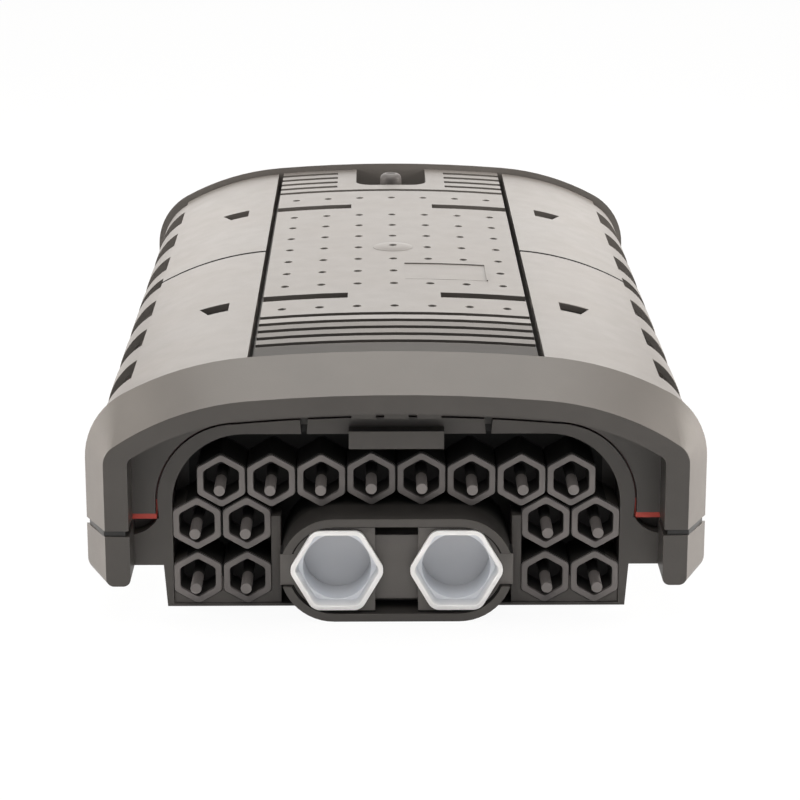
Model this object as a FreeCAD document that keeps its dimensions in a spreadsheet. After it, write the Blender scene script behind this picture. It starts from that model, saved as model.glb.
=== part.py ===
import FreeCAD
import Part
import Sketcher
import math
import os

# Fibre splice closure, millimetres. +Z is up, the cable ports face -Y, and the
# origin is the middle of the bottom face.

doc = FreeCAD.newDocument("SpliceClosure")
sheet = doc.addObject("Spreadsheet::Sheet", "dim")

DRIVING = (
    # whole closure
    ("overall_length", 424), ("crest_height", 106), ("parting_height", 37), ("wall", 3.2), ("fit_gap", 0.3),
    ("running_gap", 0.05), ("cut_over", 1),
    # hexagonal ports and their plugs
    ("port_pitch", 19.9), ("port_gap", 0.3), ("port_wall", 1.4), ("port_corner", 2), ("port_sink", 0.1),
    ("port_set_back", 1.6), ("row_gap", 0.8), ("over_oval_gap", 0.15), ("over_oval_rise", 0.65),
    ("plug_flange_inset", 0.3), ("plug_flange", 1.6), ("plug_wall", 1.2), ("plug_depth", 16),
    ("plug_pin_radius", 2.2), ("plug_pin_proud", 13),
    # port block
    ("block_corner", 32), ("block_depth", 30), ("block_headroom", 8.4), ("block_floor", 1.1), ("block_draft", 3.3),
    ("band_width", 5.9), ("band_height", 6.8), ("recess_corner", 29), ("back_wall", 5), ("arch_gap", 0.8),
    ("seal_slack", 0.1), ("seal_depth", 0.8), ("band_notch_from_middle", 36.5), ("band_notch_top", 3.6),
    ("band_notch_foot", 2), ("band_notch_depth", 4), ("lip_cut_height", 6.6), ("lip_cut_depth", 8),
    # arched section and the sloped rim at each end
    ("crown_radius", 720), ("haunch_radius", 122), ("shoulder_radius", 30), ("door_side", 13.2),
    ("latch_space", 14.2), ("rim_depth", 18.5), ("rim_inset", 8.9), ("rim_drop", 12.7), ("rim_face", 9.3),
    ("rim_face_top", 7.6), ("rim_shoulder", 9), ("mouth_shoulder", 4), ("rim_gap", 1), ("foot_drop", 1.4),
    ("foot_height", 22), ("foot_outer_corner", 6), ("foot_inner_corner", 3),
    # cover panel
    ("panel_drop", 3), ("panel_width", 113), ("groove_count", 5), ("groove_pitch", 11.4), ("groove_width", 4.6),
    ("groove_depth", 2.2), ("front_groove_margin", 25.3), ("rear_groove_margin", 7.3), ("pattern_shift", 6),
    ("strap_slot_length", 36.5), ("strap_slot_width", 9), ("slot_to_dots", 20), ("slot_to_rows", 21),
    ("dot_pitch_across", 15.9), ("dot_margin", 14), ("dot_radius", 1.9), ("dot_depth", 1.6),
    ("channel_depth", 13), ("gate_mark_radius", 9.2), ("gate_mark_rise", 0.9), ("gate_mark_edge", 0.1),
    ("plate_length", 37), ("plate_width", 30), ("plate_from_middle", 23.3), ("plate_forward", 43),
    # inflation valve
    ("valve_from_rim", 27.5), ("valve_recess_width", 36), ("valve_recess_length", 42), ("valve_recess_depth", 8.5),
    ("valve_recess_corner", 9), ("valve_land", 9.6), ("valve_stem_radius", 4), ("valve_cap_wall", 1.5),
    ("valve_flange", 7), ("valve_seat", 1.6),
    # side latches
    ("latch_thickness", 3), ("latch_gap", 0.4), ("panel_groove", 2.5), ("seam_gap", 1.2), ("seam_shift", 8),
    ("latch_end_gap", 1.6), ("finger_slot_length", 28), ("finger_slot_pitch", 52), ("finger_slot_depth", 16),
    ("finger_end_notch", 8), ("rod_radius", 2.5), ("knuckle_wall", 2.05), ("knuckle_gap", 0.6),
    ("lug_side_gap", 2), ("pry_hole_width", 13), ("pry_hole_length", 14), ("pry_hole_inset", 12),
    ("pry_hole_skew", 4.5),
    # base
    ("ledge_thickness", 4), ("ledge_step", 6), ("tray_depth", 19.5), ("tray_chamfer", 9), ("tub_end_inset", 14), ("tub_corner", 4),
    ("gasket_height", 2.2), ("gasket_width", 3.2),
    # oval port
    ("oval_half", 46), ("oval_radius", 21.3), ("oval_wall", 3.2), ("insert_depth", 24), ("insert_set_back", 2),
    ("insert_ear", 13), ("insert_ear_depth", 11), ("web_width", 17), ("web_recess", 3), ("web_slot", 4.5),
    ("cap_from_middle", 23.6), ("cap_bore_flats", 30.4), ("cap_lip", 1.3), ("cap_wall", 1.5), ("cap_depth", 20),
    ("cap_hex_depth", 6), ("cap_corner", 3), ("oval_seal_depth", 4),
    # front catch
    ("catch_width", 37.5), ("catch_height", 7.2), ("catch_drop", 4.2), ("catch_depth", 7), ("tooth_width", 9.6),
    ("tooth_pitch", 12.9), ("tooth_height", 5), ("tooth_depth", 6),
    # fixing bosses under the base
    ("fixing_spacing_across", 120), ("fixing_from_anchor", 16), ("fixing_radius", 2.1), ("fixing_depth", 11),
    ("fixing_wall", 3.9),
    # organiser and splice trays
    ("organiser_side_gap", 8.3), ("organiser_front_gap", 16), ("organiser_rear_gap", 27.1),
    ("organiser_thickness", 2.5), ("tray_count", 4), ("tray_pitch", 11), ("tray_side_inset", 23),
    ("tray_front_inset", 8), ("tray_rear_inset", 28), ("tray_gap", 2), ("splice_tray_wall", 1.8),
    ("tray_pin_radius", 1.5), ("tray_pin_reach", 8), ("tray_pin_end", 8.7), ("tray_lug_wall", 2.45),
    ("tray_lug_width", 12), ("tray_lug_from_middle", 36), ("ear_thickness", 4), ("post_radius", 6),
    ("post_from_side", 38), ("post_from_end", 45), ("comb_length", 50), ("comb_height", 5), ("comb_slots", 12),
    ("comb_pitch", 3.4), ("comb_slot_width", 2.4), ("lid_thickness", 1.5),
    # cable anchor
    ("anchor_side_gap", 13.8), ("anchor_width", 16), ("anchor_thickness", 2), ("anchor_from_block", 27.5),
    ("anchor_teeth", 8), ("anchor_tooth_height", 14), ("anchor_screw_inset", 10), ("anchor_screw_radius", 2),
)

DERIVED = (
    # along the closure
    ("half_length", "=overall_length / 2"),
    ("crest_y", "=half_length - rim_depth"),
    ("bulkhead_y", "=crest_y - wall"),
    ("block_back_y", "=crest_y - block_depth"),
    ("valve_y", "=crest_y - valve_from_rim"),
    ("groove_run", "=(groove_count - 1) * groove_pitch + groove_width"),
    ("front_groove_start", "=crest_y - front_groove_margin - groove_run"),
    ("rear_groove_start", "=crest_y - rear_groove_margin - groove_run"),
    ("dot_outer_row", "=(front_groove_start + rear_groove_start) / 2 - dot_margin"),
    ("strap_slot_from_middle", "=dot_outer_row - slot_to_dots"),
    ("dot_pitch_along", "=(strap_slot_from_middle - slot_to_rows) / 3"),
    ("front_latch_length", "=crest_y - latch_end_gap - seam_gap / 2 + seam_shift"),
    ("rear_latch_length", "=crest_y - latch_end_gap - seam_gap / 2 - seam_shift"),
    ("front_latch_middle", "=seam_shift - seam_gap / 2 - front_latch_length / 2"),
    ("rear_latch_middle", "=seam_shift + seam_gap / 2 + rear_latch_length / 2"),
    ("plug_face_y", "=crest_y - port_set_back + plug_flange"),
    ("oval_reach", "=half_length - insert_set_back"),
    ("insert_back_y", "=oval_reach - insert_depth"),
    ("anchor_y", "=block_back_y - anchor_from_block"),
    ("fixing_spacing_along", "=2 * (anchor_y - fixing_from_anchor)"),
    ("organiser_front", "=anchor_y - anchor_width / 2 - organiser_front_gap"),
    ("organiser_back", "=bulkhead_y - wall - organiser_rear_gap"),
    ("splice_tray_front", "=organiser_front - tray_front_inset"),
    ("splice_tray_back", "=organiser_back - tray_rear_inset"),
    ("tray_pin_back", "=splice_tray_back + tray_pin_reach"),
    # across the closure
    ("port_flats", "=port_pitch - port_gap"),
    ("port_bore_flats", "=port_flats - 2 * port_wall"),
    ("plug_flange_flats", "=port_flats - 2 * plug_flange_inset"),
    ("plug_body_flats", "=port_bore_flats - fit_gap"),
    ("plug_bore_flats", "=plug_body_flats - 2 * plug_wall"),
    ("block_half", "=4 * port_pitch + port_flats / 2 - port_sink + band_width"),
    ("tub_half", "=block_half - block_draft"),
    ("barrel_half", "=block_half + arch_gap + door_side"),
    ("cavity_half", "=barrel_half - wall"),
    ("half_width", "=barrel_half + latch_space"),
    ("overall_width", "=2 * half_width"),
    ("ledge_half", "=half_width - panel_drop"),
    ("tray_half", "=ledge_half - ledge_step"),
    ("latch_inner_edge", "=panel_width / 2 + panel_groove"),
    ("pry_hole_from", "=latch_inner_edge + pry_hole_inset"),
    ("finger_slot_from", "=half_width - finger_slot_depth"),
    ("knuckle_radius", "=rod_radius + running_gap + knuckle_wall"),
    ("bore_radius", "=rod_radius + running_gap"),
    ("hinge_x", "=ledge_half - knuckle_radius"),
    ("insert_half", "=oval_half - oval_wall - fit_gap"),
    ("insert_radius", "=oval_radius - oval_wall - fit_gap"),
    ("cap_flats", "=cap_bore_flats + 2 * cap_lip"),
    ("cap_body_flats", "=cap_bore_flats - fit_gap"),
    ("valve_hole_radius", "=valve_stem_radius + fit_gap"),
    ("fixing_boss_radius", "=fixing_radius + fixing_wall"),
    ("fixing_boss_height", "=fixing_depth + wall"),
    ("organiser_half", "=cavity_half - organiser_side_gap"),
    ("splice_tray_half", "=organiser_half - tray_side_inset"),
    ("tray_bore_radius", "=tray_pin_radius + running_gap"),
    ("tray_lug_radius", "=tray_bore_radius + tray_lug_wall"),
    ("ear_from_middle", "=tray_lug_from_middle + tray_lug_width / 2 + fit_gap"),
    ("tray_pin_length", "=2 * (ear_from_middle + ear_thickness + tray_pin_end)"),
    ("comb_width", "=comb_slots * comb_pitch"),
    ("anchor_length", "=2 * (tub_half - wall - anchor_side_gap)"),
    ("anchor_screw_spacing", "=anchor_length - 2 * anchor_screw_inset"),
    # heights
    ("panel_top", "=crest_height - panel_drop"),
    ("latch_inset", "=panel_drop + latch_thickness"),
    ("barrel_inset", "=latch_inset + latch_gap"),
    ("channel_floor", "=panel_top - channel_depth"),
    ("cavity_inset", "=barrel_inset + wall"),
    ("cover_bottom", "=parting_height + gasket_height"),
    ("hinge_height", "=parting_height + knuckle_radius + knuckle_gap"),
    ("foot_bottom", "=parting_height - foot_height"),
    ("tray_bottom", "=parting_height - tray_depth"),
    ("tray_floor", "=tray_bottom + wall"),
    ("oval_height", "=oval_radius"),
    ("corner_loss", "=port_corner * (2 / sqrt(3) - 1)"),
    ("port_rise", "=port_flats / sqrt(3) - corner_loss"),
    ("flange_rise", "=plug_flange_flats / sqrt(3) - corner_loss"),
    ("lower_row_height", "=block_floor + flange_rise + fit_gap"),
    ("middle_row_height", "=lower_row_height + 2 * port_rise + row_gap"),
    ("nested_row_height", "=middle_row_height + port_pitch * sqrt(3) / 2"),
    ("over_oval_height", "=2 * oval_radius + flange_rise + over_oval_gap"),
    ("upper_row_height", "=max(nested_row_height; over_oval_height - over_oval_rise)"),
    ("crown_row_height", "=max(upper_row_height; over_oval_height)"),
    ("recess_top", "=crown_row_height + port_rise + block_headroom - over_oval_rise"),
    ("block_top", "=recess_top + band_height"),
    ("catch_bottom", "=recess_top - catch_drop"),
    ("valve_floor", "=panel_top - valve_recess_depth"),
    ("organiser_top", "=tray_floor + organiser_thickness"),
    ("splice_tray_height", "=tray_pitch - tray_gap"),
)

for row, (alias, value) in enumerate(DRIVING + DERIVED, 1):
    sheet.set(f"A{row}", alias)
    sheet.set(f"B{row}", str(value))
    sheet.setAlias(f"B{row}", alias)
doc.recompute()


def size(alias):
    return float(sheet.get(alias))


def vector(x, y):
    return FreeCAD.Vector(x, y, 0)


# Bodies, sketches and features

sub_parts = []


def new_body(label):
    body = doc.addObject("PartDesign::Body", label)
    body.Label = label
    sub_parts.append(body)
    return body


def sketch_on(body, role, offset="0"):
    """A sketch on an origin plane. On XZ_Plane the offset counts towards the front."""
    sketch = body.newObject("Sketcher::SketchObject", body.Name + "_sketch")
    plane = [feature for feature in body.Origin.OriginFeatures if feature.Role == role][0]
    sketch.AttachmentSupport = (plane, [""])
    sketch.MapMode = "FlatFace"
    sketch.setExpression("AttachmentOffset.Base.z", offset)
    return sketch


def join_ends(sketch, first):
    """Ties the ends of neighbouring edges to each other, from edge number first on."""
    ends = [(edge, end) for edge in range(first, sketch.GeometryCount) for end in (1, 2)]
    for place, one in enumerate(ends):
        for other in ends[place + 1:]:
            apart = sketch.getPoint(*one).distanceToPoint(sketch.getPoint(*other))
            if one[0] != other[0] and apart < 1e-6:
                sketch.addConstraint(Sketcher.Constraint("Coincident", *one, *other))


def draw(sketch, edges):
    first = sketch.GeometryCount
    sketch.addGeometry(edges, False)
    join_ends(sketch, first)


def polygon(sketch, points):
    corners = [vector(*point) for point in points]
    draw(sketch, [Part.LineSegment(a, b) for a, b in zip(corners, corners[1:] + corners[:1])])


def box_outline(sketch, left, bottom, right, top):
    polygon(sketch, [(left, bottom), (right, bottom), (right, top), (left, top)])


def circle(sketch, x, y, radius):
    """A circle whose radius follows the size of that name."""
    edge = sketch.addGeometry(Part.Circle(vector(x, y), FreeCAD.Vector(0, 0, 1), size(radius)), False)
    rule = sketch.addConstraint(Sketcher.Constraint("Radius", edge, size(radius)))
    sketch.setExpression(f"Constraints[{rule}]", f"dim.{radius}")


def hexagon(sketch, x, y, flats, upright=True):
    """A hexagon across its flats, with a corner on top where it is upright."""
    reach = flats / math.sqrt(3)
    start = 90 if upright else 0
    turns = [math.radians(start + 60 * corner) for corner in range(6)]
    polygon(sketch, [(x + reach * math.cos(turn), y + reach * math.sin(turn)) for turn in turns])


def round_hexagon(sketch, x, y, flats, corner):
    """An upright hexagon across its flats, with round corners."""
    reach = (flats - 2 * corner) / math.sqrt(3)
    arcs = []
    for place in range(6):
        turn = math.radians(90 + 60 * place)
        centre = vector(x + reach * math.cos(turn), y + reach * math.sin(turn))
        swing = [turn + math.radians(step) for step in (-30, 0, 30)]
        arcs.append([centre + vector(math.cos(way), math.sin(way)) * corner for way in swing])
    sides = [(one[2], other[0]) for one, other in zip(arcs, arcs[1:] + arcs[:1])]
    draw(sketch, [Part.Arc(*arc) for arc in arcs] + [Part.LineSegment(*side) for side in sides])


def stadium(sketch, y, half, radius):
    """A long round-ended outline about the point (0, y)."""
    run = half - radius
    left, right = vector(-run, y), vector(run, y)
    up = vector(0, radius)
    out = vector(radius, 0)
    draw(sketch, [Part.LineSegment(left - up, right - up), Part.Arc(right - up, right + out, right + up),
                  Part.LineSegment(right + up, left + up), Part.Arc(left + up, left - out, left - up)])


def pad(body, sketch, length, reverse=False, both=False):
    feature = body.newObject("PartDesign::Pad", body.Name + "_pad")
    feature.Profile = sketch
    feature.Reversed = reverse
    feature.SideType = "Symmetric" if both else "One side"
    feature.setExpression("Length", length)
    doc.recompute()
    return feature


def pocket(body, sketch, length, reverse=False, both=False):
    """A cut that has to take material away."""
    before = body.Shape.Volume
    feature = body.newObject("PartDesign::Pocket", body.Name + "_pocket")
    feature.Profile = sketch
    feature.Reversed = reverse
    feature.SideType = "Symmetric" if both else "One side"
    feature.setExpression("Length", length)
    doc.recompute()
    if not body.Shape.Volume < before - 1e-3:
        raise RuntimeError(f"{feature.Label} in {body.Label} cuts nothing")
    return feature


def loft(body, near, far):
    feature = body.newObject("PartDesign::AdditiveLoft", body.Name + "_loft")
    feature.Profile = near
    feature.Sections = [far]
    feature.Ruled = True
    doc.recompute()
    return feature


def revolve(body, profile):
    """A form turned about the sketch's upright axis."""
    feature = body.newObject("PartDesign::Revolution", body.Name + "_turned")
    feature.Profile = profile
    feature.ReferenceAxis = (profile, ["V_Axis"])
    feature.Angle = 360
    doc.recompute()
    return feature


def fillet(body, edges, radius):
    base = body.Tip
    feature = body.newObject("PartDesign::Fillet", body.Name + "_fillet")
    feature.Base = (base, edges)
    feature.setExpression("Radius", radius)
    doc.recompute()
    return feature


def cylinder(label, radius, height, x, y, z, turn=None):
    """A round bar from the point x, y, z, along Z unless it is turned."""
    bar = doc.addObject("Part::Cylinder", label)
    bar.Label = label
    bar.setExpression("Radius", radius)
    bar.setExpression("Height", height)
    if turn is not None:
        bar.Placement.Rotation = turn
    bar.setExpression("Placement.Base.x", x)
    bar.setExpression("Placement.Base.y", y)
    bar.setExpression("Placement.Base.z", z)
    sub_parts.append(bar)
    return bar


ALONG_X = FreeCAD.Rotation(FreeCAD.Vector(0, 1, 0), 90)
ALONG_Y = FreeCAD.Rotation(FreeCAD.Vector(1, 0, 0), -90)


# The arched section

class Arch:
    """Three tangent arcs a side: crown, haunch and shoulder, then a straight side."""

    def __init__(self, inset, half, shoulder=None):
        self.half = half
        self.top = size("crest_height") - inset
        crown = size("crown_radius") - inset
        self.haunch = size("haunch_radius") - inset
        self.shoulder = shoulder or size("shoulder_radius") - inset
        self.tilt = math.asin(size("latch_inner_edge") / size("crown_radius"))
        self.crown_end = vector(crown * math.sin(self.tilt), self.top - crown * (1 - math.cos(self.tilt)))
        self.haunch_centre = self.crown_end - self.out(self.tilt) * self.haunch
        across = half - self.shoulder - self.haunch_centre.x
        rise = math.sqrt((self.haunch - self.shoulder) ** 2 - across ** 2)
        self.lean = math.atan2(across, rise)
        self.shoulder_centre = self.haunch_centre + vector(across, rise)
        self.haunch_end = self.at_haunch(self.lean)

    @staticmethod
    def out(angle):
        return vector(math.sin(angle), math.cos(angle))

    def at_haunch(self, angle):
        return self.haunch_centre + self.out(angle) * self.haunch

    def haunch_angle(self, x):
        return math.asin((x - self.haunch_centre.x) / self.haunch)

    def side_curve(self, start):
        """Haunch from the angle start, and shoulder, on the +X side."""
        middle = self.at_haunch((start + self.lean) / 2)
        bend = self.shoulder_centre + self.out((self.lean + math.pi / 2) / 2) * self.shoulder
        return [(self.at_haunch(start), middle, self.haunch_end),
                (self.haunch_end, bend, vector(self.half, self.shoulder_centre.y))]

    def edges(self, base):
        """The closed section above the height base."""
        mirror = [tuple(vector(-p.x, p.y) for p in arc) for arc in self.side_curve(self.tilt)]
        end = self.crown_end
        arcs = self.side_curve(self.tilt) + mirror
        arcs.append((vector(-end.x, end.y), vector(0, self.top), end))
        spring = self.shoulder_centre.y
        legs = [(vector(side * self.half, spring), vector(side * self.half, base)) for side in (-1, 1)]
        legs.append((vector(-self.half, base), vector(self.half, base)))
        return [Part.Arc(*arc) for arc in arcs] + [Part.LineSegment(*leg) for leg in legs]


def rim_arch(inset):
    return Arch(inset, size("half_width") - inset)


def rim_front():
    return Arch(size("rim_drop"), size("half_width") - size("rim_inset"), size("rim_shoulder"))


def rim_mouth():
    half = size("half_width") - size("rim_inset") - size("rim_face")
    return Arch(size("rim_drop") + size("rim_face_top"), half, size("mouth_shoulder"))


def block_edges(grow, base, wide=None):
    """The arched outline of the port block, grown all round by grow."""
    half = size("block_half") + grow
    top = size("block_top") + grow
    corner = size("block_corner") + grow
    foot = half if wide is None else wide
    crown = size("crown_radius")
    flat = half - corner
    drop = crown - math.sqrt(crown ** 2 - flat ** 2)
    left, right = vector(-flat, top - drop), vector(flat, top - drop)
    edges = [Part.Arc(left, vector(0, top), right)]
    for side, start in ((-1, left), (1, right)):
        end = vector(side * half, top - drop - corner)
        centre = vector(side * flat, top - drop - corner)
        bend = centre + vector(side * corner, corner) * math.sqrt(0.5)
        edges.append(Part.Arc(start, bend, end))
        edges.append(Part.LineSegment(end, vector(side * foot, base)))
    edges.append(Part.LineSegment(vector(-foot, base), vector(foot, base)))
    return edges


def recess_edges():
    """The outline of the recess in the port block, flat on top."""
    half = size("block_half") - size("band_width")
    top = size("recess_top")
    corner = size("recess_corner")
    floor = size("block_floor")
    flat = half - corner
    edges = [Part.LineSegment(vector(-flat, top), vector(flat, top)),
             Part.LineSegment(vector(-half, floor), vector(half, floor))]
    for side in (-1, 1):
        centre = vector(side * flat, top - corner)
        bend = centre + vector(side * corner, corner) * math.sqrt(0.5)
        spring = vector(side * half, top - corner)
        edges.append(Part.Arc(vector(side * flat, top), bend, spring))
        edges.append(Part.LineSegment(spring, vector(side * half, floor)))
    return edges


def crown_drop(x):
    """How far the panel falls from its middle at x."""
    radius = size("crown_radius") - size("panel_drop")
    return radius - math.sqrt(radius ** 2 - x ** 2)


TINY = 1e-3
ENDS = (("front", 1), ("rear", -1))
SIDES = (("left", -1), ("right", 1))


# Cover

def cover_shell():
    body = new_body("cover_shell")
    parting = size("parting_height") + size("rim_gap")
    bottom = size("cover_bottom")
    section = sketch_on(body, "XZ_Plane")
    draw(section, Arch(size("barrel_inset"), size("barrel_half")).edges(bottom))
    pad(body, section, "2 * dim.crest_y", both=True)
    panel_section(body)
    for sign in (1, -1):
        near = sketch_on(body, "XZ_Plane", f"{sign} * dim.crest_y")
        draw(near, rim_arch(0).edges(parting))
        far = sketch_on(body, "XZ_Plane", f"{sign} * dim.half_length")
        draw(far, rim_front().edges(parting))
        loft(body, near, far)
    cavity = sketch_on(body, "XZ_Plane")
    draw(cavity, Arch(size("cavity_inset"), size("cavity_half")).edges(bottom - size("cut_over")))
    pocket(body, cavity, "2 * dim.bulkhead_y", both=True)
    side_channels(body)
    for sign in (1, -1):
        mouth = sketch_on(body, "XZ_Plane", f"{sign} * dim.half_length")
        draw(mouth, rim_mouth().edges(parting - size("cut_over")))
        pocket(body, mouth, "dim.rim_depth", reverse=sign < 0)
    doorway = sketch_on(body, "XZ_Plane", "dim.crest_y")
    draw(doorway, block_edges(size("arch_gap"), bottom - size("cut_over")))
    pocket(body, doorway, "dim.wall")
    catch_teeth(body)
    valve_recess(body)
    panel_relief(body)
    return body


def panel_section(body):
    """The raised middle panel, arched like the crown, from rim to rim."""
    half = size("panel_width") / 2
    top = size("panel_top")
    edge = top - crown_drop(half)
    floor = size("crest_height") - size("cavity_inset") - size("groove_depth")
    section = sketch_on(body, "XZ_Plane")
    draw(section, [Part.Arc(vector(-half, edge), vector(0, top), vector(half, edge)),
                   Part.LineSegment(vector(half, edge), vector(half, floor)),
                   Part.LineSegment(vector(half, floor), vector(-half, floor)),
                   Part.LineSegment(vector(-half, floor), vector(-half, edge))])
    pad(body, section, "2 * dim.crest_y", both=True)


def side_channels(body):
    """A deep narrow channel along each side of the panel, with its own walls inside the cover."""
    wall = size("wall")
    inner, outer = size("panel_width") / 2, size("latch_inner_edge")
    roof = size("crest_height") - size("barrel_inset") - crown_drop(outer + wall) - wall / 2
    trough = sketch_on(body, "XZ_Plane")
    for side in (-1, 1):
        left, right = sorted((side * (inner - wall), side * (outer + wall)))
        box_outline(trough, left, size("channel_floor") - wall, right, roof)
    pad(body, trough, "2 * dim.bulkhead_y + dim.wall", both=True)
    channel = sketch_on(body, "XY_Plane", "dim.crest_height")
    for side in (-1, 1):
        left, right = sorted((side * inner, side * outer))
        box_outline(channel, left, -size("crest_y"), right, size("crest_y"))
    pocket(body, channel, "dim.crest_height - dim.channel_floor")


def catch_teeth(body):
    """Three blocks over the catch of the base, on the front of the cover's bulkhead."""
    low = size("block_top") + size("arch_gap") + size("fit_gap")
    teeth = sketch_on(body, "XZ_Plane", "dim.crest_y")
    for place in (-1, 0, 1):
        middle = place * size("tooth_pitch")
        half = size("tooth_width") / 2
        box_outline(teeth, middle - half, low, middle + half, low + size("tooth_height"))
    pad(body, teeth, "dim.tooth_depth")


def valve_recess(body):
    """A boss under the rear of the panel, with a recess open to the rim and the stem's hole."""
    half = size("valve_recess_width") / 2
    back = size("bulkhead_y") + size("wall")
    front = back - size("valve_recess_length")
    floor = "dim.valve_floor - dim.wall"
    boss = sketch_on(body, "XY_Plane", floor)
    box_outline(boss, -half - size("wall"), front - size("wall"), half + size("wall"), back)
    pad(body, boss, "dim.wall + dim.valve_recess_depth / 2")
    corner = size("valve_recess_corner")
    recess = sketch_on(body, "XY_Plane", "dim.crest_height")
    left, right = vector(-half, front + corner), vector(half, front + corner)
    slant = corner * (1 - math.sqrt(0.5))
    draw(recess, [Part.LineSegment(vector(-half, back), left),
                  Part.Arc(left, vector(-half + slant, front + slant), vector(-half + corner, front)),
                  Part.LineSegment(vector(-half + corner, front), vector(half - corner, front)),
                  Part.Arc(vector(half - corner, front), vector(half - slant, front + slant), right),
                  Part.LineSegment(right, vector(half, back)),
                  Part.LineSegment(vector(half, back), vector(-half, back))])
    pocket(body, recess, "dim.crest_height - dim.valve_floor")
    hole = sketch_on(body, "XY_Plane", "dim.valve_floor")
    circle(hole, 0, size("valve_y"), "valve_hole_radius")
    pocket(body, hole, "dim.wall")


def panel_relief(body):
    """Grip grooves, strap slots, dimples and the gate mark in the panel's top."""
    half = size("panel_width") / 2
    past = half + size("cut_over")
    edge_drop = crown_drop(half)
    count = int(size("groove_count"))
    recess_half = size("valve_recess_width") / 2 + size("valve_land")
    grooves = sketch_on(body, "XY_Plane", "dim.panel_top")
    for place in range(count):
        step = place * size("groove_pitch")
        front = -size("front_groove_start") - step
        box_outline(grooves, -past, front - size("groove_width"), past, front)
        rear = size("rear_groove_start") + step
        if place == 0:
            box_outline(grooves, -past, rear, past, rear + size("groove_width"))
            continue
        for side in (-1, 1):
            ends = sorted((side * recess_half, side * past))
            box_outline(grooves, ends[0], rear, ends[1], rear + size("groove_width"))
    pocket(body, grooves, f"dim.groove_depth + {edge_drop}")
    slots = sketch_on(body, "XY_Plane", "dim.panel_top")
    for along in (-1, 1):
        middle = along * size("strap_slot_from_middle") + size("pattern_shift")
        for side in (-1, 1):
            ends = sorted((side * (half - size("strap_slot_length")), side * past))
            box_outline(slots, ends[0], middle - size("strap_slot_width") / 2,
                        ends[1], middle + size("strap_slot_width") / 2)
    pocket(body, slots, f"dim.groove_depth + {edge_drop}")
    for column in range(4):
        across = column * size("dot_pitch_across")
        dots = sketch_on(body, "XY_Plane", "dim.panel_top")
        for along in dot_rows():
            for side in ((-1, 1) if column else (1,)):
                if not covered(side * across, along):
                    circle(dots, side * across, along + size("pattern_shift"), "dot_radius")
        pocket(body, dots, f"dim.dot_depth + {crown_drop(across)}")
    gate_mark(body)


def gate_mark(body):
    """The low button where the melt came in, with a dimple on its top."""
    radius, rise, edge = size("gate_mark_radius"), size("gate_mark_rise"), size("gate_mark_edge")
    dimple = size("dot_radius")
    top = size("panel_top")
    half_way = edge + (rise - edge) * 0.72
    profile = sketch_on(body, "XZ_Plane", "-dim.pattern_shift")
    foot, rim, crown = vector(radius, top - rise), vector(radius, top + edge), vector(dimple, top + rise)
    bed, middle, under = vector(dimple, top), vector(0, top), vector(0, top - rise)
    draw(profile, [Part.LineSegment(under, foot), Part.LineSegment(foot, rim),
                   Part.Arc(rim, vector((radius + dimple) / 2, top + half_way), crown),
                   Part.LineSegment(crown, bed), Part.LineSegment(bed, middle), Part.LineSegment(middle, under)])
    revolve(body, profile)


def dot_rows():
    rows = [row * size("dot_pitch_along") for row in range(-3, 4)]
    return rows + [-size("dot_outer_row"), size("dot_outer_row")]


def covered(x, y):
    """Whether the gate mark or the bare name plate takes the place of a dimple."""
    on_gate = math.hypot(x, y) < size("gate_mark_radius")
    across = abs(x - size("plate_from_middle")) < size("plate_length") / 2
    along = abs(y + size("pattern_shift") + size("plate_forward")) < size("plate_width") / 2
    return on_gate or (across and along)


# Base

def base_shell():
    body = new_body("base_shell")
    parting = size("parting_height")
    tray = sketch_on(body, "XZ_Plane")
    ledge = parting - size("ledge_thickness")
    low = size("tray_bottom")
    cut = size("tray_chamfer")
    half = [(size("ledge_half"), parting), (size("ledge_half"), ledge), (size("tray_half"), ledge),
            (size("tray_half"), low + cut), (size("tray_half") - cut, low)]
    polygon(tray, half + [(-x, z) for x, z in reversed(half)])
    pad(body, tray, "2 * dim.crest_y", both=True)
    tub = sketch_on(body, "XY_Plane")
    box_outline(tub, -size("tub_half"), -size("crest_y"), size("tub_half"),
                size("crest_y") - size("tub_end_inset"))
    pad(body, tub, "dim.tray_bottom + dim.wall / 2")
    block = sketch_on(body, "XZ_Plane", "dim.crest_y")
    draw(block, block_edges(0, 0, size("tub_half")))
    pad(body, block, "dim.block_depth", reverse=True)
    round_tub(body)
    base_feet(body)
    hollow_base(body)
    fixing_bosses(body)
    port_block(body)
    hinge_lugs(body)
    return body


def round_tub(body):
    """The two long lower edges of the tub, made round."""
    half, length = size("tub_half"), size("crest_y")
    boxes = [edge.BoundBox for edge in body.Shape.Edges]
    sides = [box.ZMax < TINY and box.YLength > length and abs(abs(box.Center.x) - half) < TINY for box in boxes]
    fillet(body, [f"Edge{place + 1}" for place, side in enumerate(sides) if side], "dim.tub_corner")


def base_feet(body):
    """Four sloped posts that carry the rims down to round feet."""
    inner = size("half_width") - size("rim_inset") - size("rim_face") - size("fit_gap")
    for side in (-1, 1):
        for sign in (1, -1):
            sections = []
            for inset, offset in ((0, "crest_y"), (size("rim_inset"), "half_length")):
                outer = size("half_width") - inset
                post = sketch_on(body, "XZ_Plane", f"{sign} * dim.{offset}")
                share = (outer - inner) / (size("half_width") - inner)
                draw(post, foot_edges(side, inner, outer, size("foot_outer_corner") * share))
                sections.append(post)
            loft(body, *sections)


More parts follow.
